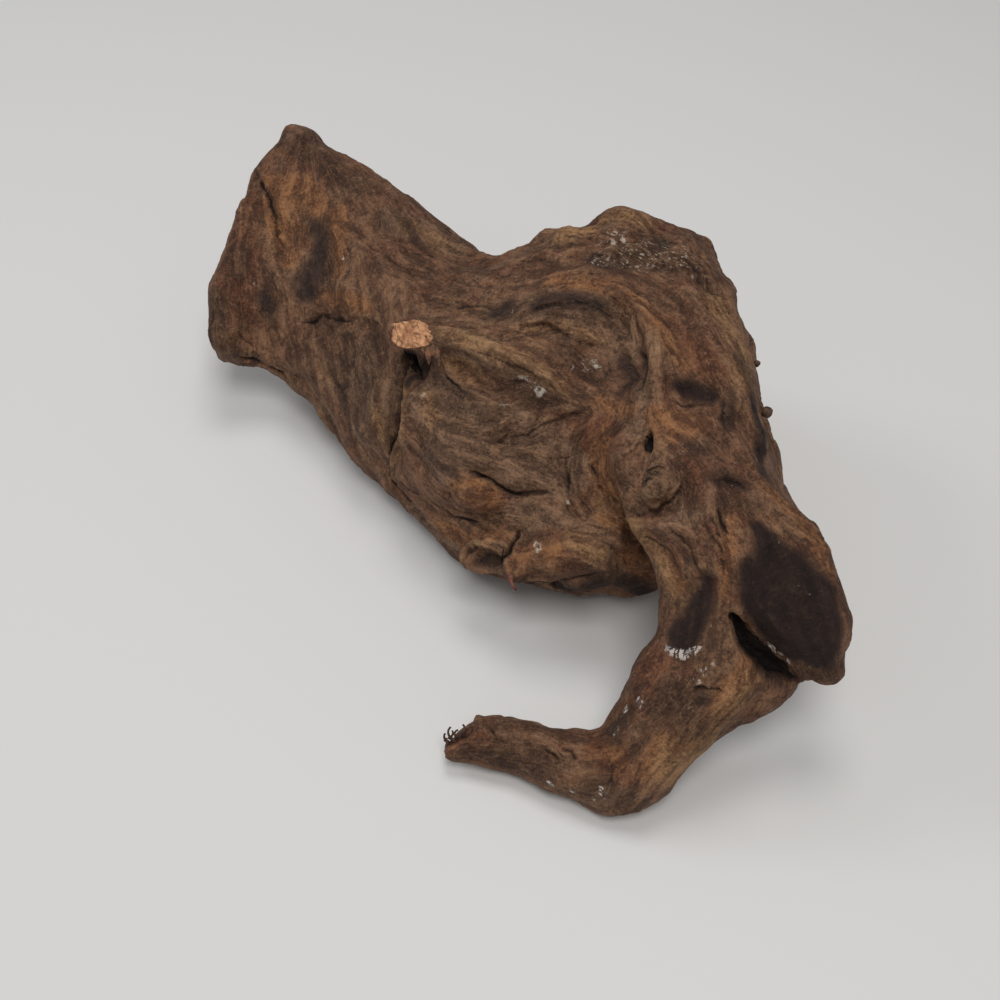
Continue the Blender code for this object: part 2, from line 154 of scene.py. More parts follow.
# Grain: the fibres run along these lines of places and part round the knots, as water parts round stones.
FIBRES = [
    [(270, 150), (258, 190), (244, 250), (236, 320), (240, 350)],
    [(290, 140), (270, 190), (282, 250), (290, 310), (300, 370)],
    [(310, 160), (312, 220), (322, 280), (340, 340), (352, 420)],
    [(320, 140), (360, 190), (410, 250), (460, 280), (520, 300)],
    [(330, 150), (390, 190), (450, 250), (500, 262), (560, 256)],
    [(350, 300), (372, 360), (376, 420), (400, 490), (460, 550)],
    [(390, 300), (398, 360), (396, 430), (420, 495), (480, 540)],
    [(396, 326), (430, 332), (480, 346), (530, 368), (566, 394)],
    [(418, 390), (450, 420), (500, 430), (560, 412), (610, 396)],
    [(408, 430), (440, 462), (490, 474), (540, 486), (580, 500)],
    [(430, 500), (470, 520), (520, 540), (570, 540), (620, 560)],
    [(476, 540), (510, 560), (560, 566), (610, 570), (650, 590)],
    [(440, 300), (500, 316), (540, 300), (590, 298), (626, 324), (640, 360)],
    [(470, 330), (520, 334), (560, 332), (600, 350), (636, 380)],
    [(530, 262), (580, 266), (626, 284), (660, 320), (690, 372)],
    [(560, 240), (610, 230), (660, 250), (700, 290), (726, 350)],
    [(690, 240), (722, 290), (744, 350), (760, 410), (770, 470)],
    [(650, 300), (700, 350), (724, 400), (744, 450), (770, 500)],
    [(654, 350), (650, 400), (664, 430), (700, 460), (730, 500)],
    [(600, 400), (580, 450), (584, 500), (620, 532), (664, 548), (692, 590)],
    [(640, 420), (600, 450), (606, 500), (650, 524), (690, 550), (704, 590)],
    [(690, 470), (700, 510), (718, 560), (730, 610)],
    [(730, 500), (748, 550), (776, 600), (820, 660)],
    [(770, 500), (806, 540), (836, 600), (846, 660)],
    [(660, 570), (672, 610), (660, 650), (630, 690), (596, 740)],
    [(700, 600), (700, 650), (676, 700), (640, 750), (610, 800)],
    [(750, 650), (744, 690), (706, 730), (670, 770), (640, 806)],
    [(610, 740), (570, 738), (520, 730), (476, 730), (446, 746)],
    [(620, 780), (580, 780), (530, 768), (480, 752), (450, 754)],
]
KNOTS = [
    # place, radius in mm, how much the knot stands out in mm
    ((656, 489), 7.0, 1.3),
    ((621, 466), 6.0, 1.2),
]
FLOW_STEP = 4.0  # the flow grid's spacing in mm

# Broad swellings of the wood, or hollows where the height is below nothing, each with its radius and height
# in mm, and the stretches that water has worn smooth.
SWELLINGS = [
    ((556, 556), 8.0, 2.0),
    ((524, 566), 4.0, 1.6),
    ((600, 318), 9.0, 1.0),
    ((680, 430), 8.0, 0.9),
    ((640, 672), 8.0, 0.8),
    ((440, 440), 12.0, 1.2),
    ((240, 225), 4.5, 1.2),
    ((216, 276), 5.0, 1.0),
    ((222, 340), 5.0, 1.0),
    ((566, 230), 4.0, 1.2),
    ((622, 216), 5.0, 1.2),
    ((692, 236), 4.5, 1.2),
    ((658, 224), 3.0, -1.0),
    ((592, 224), 3.0, -0.8),
    ((731, 290), 3.6, 1.8),
    ((712, 246), 6.0, -2.6),
    ((744, 330), 6.0, -1.2),
    ((540, 238), 4.0, -2.4),
    ((530, 250), 2.6, 1.0),
    ((245, 207), 4.5, 1.6),
    ((256, 177), 1.8, -2.0),
    ((235, 237), 3.0, -1.2),
    ((270, 153), 5.0, 1.0),
    ((214, 322), 3.0, -1.2),
    ((463, 735), 2.2, -1.4),
    ((469, 728), 1.9, -2.2),
    ((479, 722), 2.0, 1.8),
    ((634, 374), 4.5, -1.8),
    ((612, 528), 7.0, 2.4),
    ((630, 556), 6.5, 3.6),
    ((641, 358), 3.0, -1.0),
    ((520, 318), 5.0, -0.8),
    ((463, 556), 2.0, 0.9),
    ((604, 266), 3.0, -1.0),
    ((660, 244), 3.0, -1.0),
    ((736, 424), 4.0, -1.0),
    ((476, 494), 6.5, 2.0),
    ((715, 690), 5.0, 0.8),
    ((453, 745), 2.4, -0.8),
    ((484, 724), 3.0, 0.8),
]
WORN = [
    [(740, 530, 7), (776, 580, 15), (806, 620, 17), (830, 664, 10)],
    [(620, 560, 7), (664, 590, 10), (680, 640, 12), (650, 690, 16), (620, 750, 16), (604, 790, 9)],
    [(740, 690, 9), (700, 720, 10)],
    [(590, 760, 13), (530, 752, 12), (470, 742, 10)],
    [(480, 490, 6), (560, 556, 9)],
    [(700, 420, 6), (660, 430, 7)],
    [(300, 190, 9), (300, 240, 8)],
    [(410, 335, 5), (500, 355, 6)],
]


def flow_grid(points):
    """The fibres' direction at the corners of a grid round the piece, and the grid's first corner."""
    places, ways = [], []
    for line in FIBRES:
        path = seen_path(line, 9.0)
        places.append(path)
        ways.append(np.gradient(path, axis=0))
    places, ways = np.concatenate(places), np.concatenate(ways)
    ways /= np.linalg.norm(ways, axis=1)[:, None] + 1e-6
    first = points.min(0) - 2 * FLOW_STEP
    counts = np.ceil((points.max(0) - first) / FLOW_STEP).astype(int) + 3
    axes = [first[k] + FLOW_STEP * np.arange(counts[k]) for k in range(3)]
    corners = np.stack(np.meshgrid(*axes, indexing="ij"), -1).reshape(-1, 3)
    grid = np.zeros((len(corners), 3))
    at_once = 20000
    for start in range(0, len(corners), at_once):
        part = slice(start, start + at_once)
        gap = ((corners[part, None, :] - places[None, :, :]) ** 2).sum(2)
        grid[part] = (1 / (gap + 6) ** 2.5) @ ways
    grid /= np.linalg.norm(grid, axis=1)[:, None] + 1e-12
    return grid.reshape(*counts, 3), first


def flow_at(points, normals, grid, first):
    """The fibres' direction at points, along the skin."""
    place = (points - first) / FLOW_STEP
    low = np.clip(np.floor(place).astype(int), 0, np.array(grid.shape[:3]) - 2)
    part = np.clip(place - low, 0, 1)
    way = np.zeros_like(points)
    for corner in range(8):
        at = np.array([corner & 1, corner >> 1 & 1, corner >> 2 & 1])
        weight = np.where(at == 1, part, 1 - part).prod(1)
        x, y, z = (low + at).T
        way += grid[x, y, z] * weight[:, None]
    for place, radius, _ in KNOTS:
        off = points - seen(*place)
        distance = np.linalg.norm(off, axis=1)
        near = np.nonzero(distance < 3 * radius)[0]
        off, distance, stream, face = off[near], distance[near], way[near], normals[near]
        outward = off / (distance[:, None] + 1e-6)
        fade = soft_step(3 * radius, 2 * radius, distance)[:, None]
        parting = np.minimum(radius / (distance + 1e-6), 1)[:, None] ** 2 * fade
        stream = stream - parting * (2 * (stream * outward).sum(1)[:, None] * outward - stream)
        ring = np.cross(face, outward)
        ring *= np.sign((stream * ring).sum(1))[:, None]
        inside = soft_step(radius * 1.05, radius * 0.8, distance)[:, None]
        way[near] = stream * (1 - inside) + ring * inside
    way += np.stack([noise3(points / 9 + 11 * k, 5 + k) for k in range(3)], 1) * 0.45
    way -= (way * normals).sum(1)[:, None] * normals
    size = np.linalg.norm(way, axis=1)[:, None]
    return way / np.maximum(size, 0.35)


def streamlines(points, normals, grid, first, step=1.5, count=11):
    """The points carried along the fibres, a step further backwards and forwards each time."""
    carried = [points]
    ends = {-1: points, 1: points}
    for _ in range(count):
        for sign in ends:
            ends[sign] = ends[sign] + sign * step * flow_at(ends[sign], normals, grid, first)
            carried.append(ends[sign])
    return carried


def drawn_out(carried, width, seed, reach=11):
    """Noise with marks that wide in mm, drawn out along the fibres by that many steps each way."""
    total = sum(noise3(line / width, seed) for line in carried[: 1 + 2 * reach])
    return total / total.std() * 0.4


# Cracks, creases and ledges, each a line of places, its half width (or several along it), its depth and its
# lip in mm. The lip is how far one side stands higher: above nothing the right-hand side of the line's run,
# below it the left.
CRACKS = [
    (
        [(256, 176), (259, 182), (264, 190), (271, 203), (276, 218), (279, 236), (284, 256)],
        (0.7, 0.4, 0.3, 0.25, 0.1), 1.7, 0.8,
    ),
    ([(241, 331), (247, 341), (254, 350)], 0.3, 0.9, 0.3),
    ([(233, 357), (250, 359), (266, 364), (282, 374), (290, 382)], 0.6, 1.8, -0.8),
    ([(300, 326), (316, 319), (335, 317), (352, 321)], 0.3, 1.2, 0.7),
    ([(352, 355), (356, 375), (352, 392)], 0.12, 0.9, -0.5),
    ([(330, 372), (339, 384), (341, 400)], 0.12, 0.7, -0.4),
    ([(408, 356), (404, 375), (401, 395), (402, 412), (397, 432), (391, 452), (389, 478)], 0.5, 2.2, -3.4),
    ([(389, 478), (402, 492), (412, 503)], 0.35, 1.0, -0.8),
    (
        [(480, 447), (492, 443), (506, 437), (520, 433), (540, 426), (560, 419), (580, 409), (594, 400)],
        0.1, 0.8, -0.8,
    ),
    (
        [
            (458, 472), (474, 473), (487, 476), (496, 483), (505, 490), (516, 495), (530, 494), (546, 492),
            (556, 495),
        ],
        0.4, 1.6, -1.0,
    ),
    ([(424, 497), (436, 504), (449, 511), (458, 517), (472, 521), (482, 523)], 0.35, 1.2, -0.9),
    ([(396, 478), (408, 490), (420, 497)], 0.25, 0.9, -0.4),
    ([(440, 358), (448, 376), (460, 390), (468, 398)], 0.2, 1.1, -0.7),
    ([(470, 350), (500, 362), (528, 378)], 0.12, 0.7, 0.3),
    ([(505, 332), (530, 326), (560, 330), (590, 344), (612, 352)], 0.06, 0.5, -0.6),
    ([(524, 312), (548, 304), (576, 301), (602, 308), (624, 324)], 0.12, 0.9, -0.8),
    ([(500, 360), (530, 372), (556, 392), (566, 398)], 0.12, 0.8, -0.9),
    ([(638, 350), (645, 360), (647, 374), (641, 392)], 0.14, 1.2, -1.0),
    ([(628, 362), (636, 378), (628, 394)], 0.1, 0.7, -0.5),
    ([(632, 508), (642, 513), (656, 512), (668, 505), (678, 494), (684, 478)], 0.18, 1.2, -1.0),
    ([(640, 478), (648, 470), (660, 468), (668, 474)], 0.2, 0.8, 0.3),
    ([(642, 486), (650, 480), (658, 484)], 0.15, 0.6, 0.2),
    ([(600, 452), (594, 466), (596, 484), (604, 497)], 0.12, 0.8, 0.4),
    ([(606, 458), (602, 468), (606, 480), (616, 487)], 0.12, 0.6, 0.3),
    ([(570, 448), (566, 466), (568, 488), (576, 508), (590, 528)], 0.12, 0.7, -0.6),
    ([(594, 528), (604, 542), (616, 556), (628, 568)], 0.1, 0.7, 0.4),
    ([(522, 528), (512, 545), (502, 560), (497, 572)], 0.3, 1.6, -1.4),
    ([(500, 578), (530, 583), (560, 579), (584, 573), (604, 572)], 0.3, 1.0, -1.6),
    ([(712, 479), (726, 477), (738, 482), (748, 488)], 0.15, 1.0, -0.8),
    ([(716, 508), (722, 522), (734, 536)], 0.25, 0.9, 0.5),
    (
        [(727, 608), (734, 616), (741, 626), (750, 639), (760, 650), (771, 660), (784, 670), (800, 682)],
        (0.2, 0.4, 1.0, 1.9, 2.4, 2.4, 1.6, 0.6), 4.6, -2.8,
    ),
    ([(644, 434), (647, 445), (651, 457)], (0.8, 1.9, 1.2), 4.0, 0.0),
    ([(462, 561), (466, 552), (478, 547), (492, 549), (502, 557), (506, 567)], 0.12, 0.8, -2.6),
    ([(404, 350), (412, 362), (420, 372), (426, 380)], 1.0, 2.4, 0.0),
    ([(694, 690), (706, 687), (718, 689), (724, 694)], 0.2, 1.2, -0.7),
    ([(560, 745), (572, 752), (580, 764)], 0.1, 0.6, 0.2),
    ([(540, 750), (552, 755), (560, 760)], 0.25, 0.8, 0.0),
    ([(492, 724), (498, 740), (508, 748)], 0.2, 0.8, 0.2),
    ([(748, 700), (728, 716), (706, 740)], 0.12, 0.7, -0.7),
    ([(350, 236), (378, 252), (404, 268), (424, 290)], 0.1, 0.6, 0.5),
    ([(390, 246), (420, 256), (446, 262), (470, 262)], 0.1, 0.5, -0.5),
    ([(438, 276), (462, 284), (486, 290)], 0.1, 0.5, 0.4),
    ([(586, 262), (594, 254), (604, 256)], 0.35, 1.2, 0.3),
    ([(655, 232), (664, 240), (668, 252)], 0.3, 1.0, 0.4),
    ([(684, 262), (696, 272), (700, 286)], 0.25, 0.9, 0.4),
    ([(512, 262), (530, 258), (548, 262)], 0.2, 0.7, -0.4),
    ([(758, 402), (765, 430), (768, 462)], 0.4, 1.4, 0.9),
    ([(600, 746), (610, 766), (606, 790)], 0.12, 0.7, 0.5),
    ([(696, 516), (720, 548), (724, 582)], 0.1, 0.6, 0.5),
    ([(664, 524), (690, 550), (700, 580)], 0.12, 0.8, 0.7),
    ([(636, 532), (664, 548), (682, 572)], 0.1, 0.6, -0.5),
    ([(724, 392), (722, 410), (727, 424), (738, 432)], 0.14, 0.8, -0.6),
    ([(672, 398), (690, 403), (708, 403)], 0.15, 0.8, 0.5),
    ([(420, 396), (436, 420), (440, 446)], 0.08, 0.5, -0.5),
    ([(446, 414), (478, 424), (510, 420)], 0.08, 0.4, 0.5),
    ([(520, 452), (552, 458), (580, 450)], 0.08, 0.5, -0.5),
    ([(444, 310), (476, 304), (504, 312)], 0.1, 0.6, 0.6),
]
RIDGES = [
    # places, half width and height in mm
    ([(430, 328), (462, 334), (500, 350), (536, 372), (562, 392)], 2.2, 1.8),
    ([(438, 340), (470, 350), (506, 372)], 1.2, 0.8),
    ([(450, 322), (490, 326), (530, 340), (566, 364)], 1.5, 0.9),
    ([(520, 326), (552, 322), (586, 332), (612, 346), (640, 342)], 1.6, 1.1),
    ([(602, 290), (628, 300), (646, 322), (656, 346), (655, 372), (642, 398)], 2.2, 1.3),
    ([(612, 286), (644, 300), (668, 330), (684, 366)], 1.4, 0.8),
    ([(412, 372), (406, 398), (407, 420), (400, 446)], 1.5, 1.2),
    ([(372, 360), (376, 380), (372, 400), (373, 430)], 1.4, 1.0),
    ([(352, 440), (356, 420), (346, 398)], 1.2, 0.8),
    ([(266, 214), (272, 236), (276, 258)], 1.2, 0.7),
    ([(608, 236), (614, 246), (612, 258)], 1.2, 0.8),
    ([(576, 416), (600, 420), (628, 418)], 1.2, 0.6),
    ([(590, 440), (588, 462), (594, 492), (614, 516), (646, 524)], 1.4, 0.9),
    ([(580, 440), (578, 466), (584, 500), (606, 528)], 1.2, 0.7),
    ([(700, 330), (736, 380), (756, 430), (780, 490)], 1.6, 0.7),
    ([(690, 340), (720, 392), (738, 440), (760, 496)], 1.4, 0.6),
    ([(766, 500), (800, 530), (828, 572), (838, 604)], 2.2, 1.0),
    ([(742, 520), (740, 560), (746, 600)], 1.6, 0.7),
    ([(746, 628), (762, 644), (780, 658), (806, 674)], 1.5, 0.9),
    ([(668, 652), (684, 656), (700, 650)], 1.4, 0.7),
    ([(704, 700), (690, 730), (668, 764), (650, 796)], 2.0, 0.8),
    ([(716, 706), (704, 736), (684, 766)], 1.6, 0.7),
    ([(460, 552), (478, 546), (498, 552)], 1.4, 1.2),
    ([(560, 562), (532, 568), (508, 577)], 1.6, 0.8),
    ([(236, 350), (256, 352), (276, 362)], 1.4, 0.8),
    ([(330, 320), (356, 314), (386, 324)], 1.2, 0.7),
]
BARK = [
    # rough places like bark, each with its radius in mm
    ((560, 246), 9),
    ((596, 236), 11),
    ((630, 240), 12),
    ((664, 250), 12),
    ((694, 262), 10),
    ((716, 300), 8),
    ((536, 256), 7),
    ((656, 488), 5),
]
PITS = [
    # place, radius and depth in mm
    ((452, 487), 0.9, 1.2),
    ((450, 497), 0.9, 1.2),
    ((424, 444), 0.7, 1.0),
    ((440, 530), 0.8, 1.0),
    ((413, 362), 3.0, 4.2),
    ((420, 374), 2.4, 3.0),
    ((474, 560), 2.4, 2.2),
    ((484, 558), 2.8, 2.8),
    ((494, 560), 2.4, 2.4),
    ((590, 272), 1.8, 1.4),
    ((684, 389), 2.6, 1.0),
    ((696, 391), 2.6, 1.0),
    ((708, 396), 2.4, 0.9),
    ((729, 424), 2.0, 1.6),
    ((545, 757), 0.8, 0.9),
    ((552, 754), 0.6, 0.7),
    ((576, 786), 0.6, 0.6),
    ((318, 262), 3.0, 0.6),
    ((268, 305), 1.0, 0.5),
]


def near_path(points, path, reach):
    """The points near a path: which, how far off, how far along it from 0 to 1, and the path's point."""
    low, high = path.min(0) - reach, path.max(0) + reach
    where = np.nonzero(np.all((points > low) & (points < high), axis=1))[0]
    gap = np.linalg.norm(points[where][:, None, :] - path[None, :, :], axis=2)
    closest = gap.argmin(1)
    return where, gap[np.arange(len(where)), closest], closest / max(1, len(path) - 1), closest


def seen_way(points, normals):
    """How far the skin turns towards the camera, so that nothing is carved through to the back."""
    return soft_step(-0.35, 0.05, normals @ np.array(VIEW_BACK))


def wandering(points):
    """The points shaken a little, so that lines measured from them wander as grown ones do."""
    shake = [noise3(points / 6.0, 70 + k) * 1.1 + noise3(points / 2.2, 80 + k) * 0.45 for k in range(3)]
    return points + np.stack(shake, 1)


def width_along(place, widths):
    """A crack's half width at places from 0 to 1 along it, from one width or several evenly spaced ones."""
    return np.interp(place, np.linspace(0, 1, np.size(widths)), np.atleast_1d(widths))


def right_hand(points, normals, path, where, closest):
    """1 on the right-hand side of a path's run and -1 on the left."""
    along = np.gradient(path, axis=0)[closest]
    across = np.cross(along, normals[where])
    return np.sign(((points[where] - path[closest]) * across).sum(1))


def terraced(value, layers=1.5, slow=0.78):
    """Overlapping layers: the value rises slowly and drops in sharp ledges."""
    layer = value * layers
    rise = layer - np.floor(layer)
    return np.where(rise < slow, rise / slow, (1 - rise) / (1 - slow)) - 0.5


def near_blot(points, blot):
    """How deep each point lies in a blot, in mm; below nothing outside it."""
    depth = np.full(len(points), -9.0)
    stations = [(seen(column, row), radius) for column, row, radius in blot]
    stations = [(place, radius) for place, radius in stations if place is not None]
    if len(stations) == 1:
        return stations[0][1] - np.linalg.norm(points - stations[0][0], axis=1)
    for (start, thick), (end, thin) in zip(stations, stations[1:]):
        axis = end - start
        share = np.clip((points - start) @ axis / (axis @ axis), 0, 1)
        distance = np.linalg.norm(points - start - share[:, None] * axis, axis=1)
        depth = np.maximum(depth, thick + (thin - thick) * share - distance)
    return depth


def relief(points, normals, carried):
    """The height that the fibres, cracks and knots add along the normal, in mm."""
    shaken = wandering(points)
    way = seen_way(points, normals)
    rough = soft_step(-0.4, 0.5, noise3(points / 19, 61))
    worn = np.zeros(len(points))
    for blot in WORN:
        worn = np.maximum(worn, soft_step(-5, 4, near_blot(points, blot)) * way)
    coarse = (1 - 0.75 * worn) * (0.65 + 0.5 * soft_step(-0.4, 0.4, noise3(points / 24, 60)))
    # Bundles of fibres, layers of two sizes, single fibres, swells, and drying cracks on the hidden sides.
    height = 0.85 * drawn_out(carried, 7.0, 11) * (1 - 0.4 * worn)
    patches = soft_step(-0.2, 0.4, noise3(points / 16, 62))
    height += 0.55 * coarse * terraced(drawn_out(carried, 5.0, 31, 8)) * patches
    patches = soft_step(-0.3, 0.4, noise3(points / 12, 63))
    height += 0.24 * coarse * terraced(drawn_out(carried, 3.0, 32, 5)) * patches
    height += 0.42 * coarse * (0.3 - np.abs(drawn_out(carried, 2.8, 13, 4))) * (0.3 + 0.9 * rough)
    height += 0.26 * drawn_out(carried, 1.8, 16, 2) * (0.5 + 0.6 * rough) * (1 - 0.4 * worn)
    height += 0.50 * noise3(points / 11, 14)
    patches = soft_step(0.0, 0.4, noise3(points / 17, 64))
    height -= 1.5 * np.exp(-((drawn_out(carried, 8.0, 51) / 0.055) ** 2)) * patches * (1 - way)
    height += 0.34 * noise3(shaken / 5.0, 15) * (0.4 + 0.6 * rough) * (0.5 + 0.5 * coarse)
    height += 0.20 * noise3(shaken / 2.6, 17) * (0.3 + rough) * coarse
    bark = np.zeros(len(points))
    for place, radius in BARK:
        distance = np.linalg.norm(points - seen(*place), axis=1)
        bark = np.maximum(bark, soft_step(radius * 1.3, radius * 0.6, distance) * way)
    height += bark * (1.6 * noise3(shaken / 6.0, 91) + 1.3 * (0.35 - np.abs(noise3(shaken / 3.4, 92))))
    height += bark * 0.7 * (0.3 - np.abs(noise3(shaken / 1.9, 93)))
    for bumps, steepness, sign in ((KNOTS, 3, 1), (SWELLINGS, 2, 1), (PITS, 2, -1)):
        for place, radius, tall in bumps:
            distance = np.linalg.norm(shaken - seen(*place), axis=1)
            height += sign * tall * np.exp(-((distance / radius) ** steepness)) * way
    for places, half_width, tall in RIDGES:
        path = seen_path(places)
        where, off, place, _ = near_path(shaken, path, half_width * 2.5)
        ends = np.clip(np.minimum(place, 1 - place) * 6 + 0.2, 0, 1)
        height[where] += tall * np.exp(-((off / half_width) ** 2)) * ends * way[where]
    for places, half_width, deep, lip in CRACKS:
        path = seen_path(places)
        where, off, place, closest = near_path(shaken, path, 9.0)
        ends = np.clip(np.minimum(place, 1 - place) * 5 + 0.1, 0, 1) * way[where]
        half = width_along(place, half_width)
        groove = deep * np.exp(-((off / (half + 0.55)) ** 2))
        hand = right_hand(shaken, normals, path, where, closest)
        raised = 0.6 * lip * hand * np.exp(-off / 3.6) * soft_step(0, 0.6, off)
        height[where] += (raised - groove) * ends
    return height


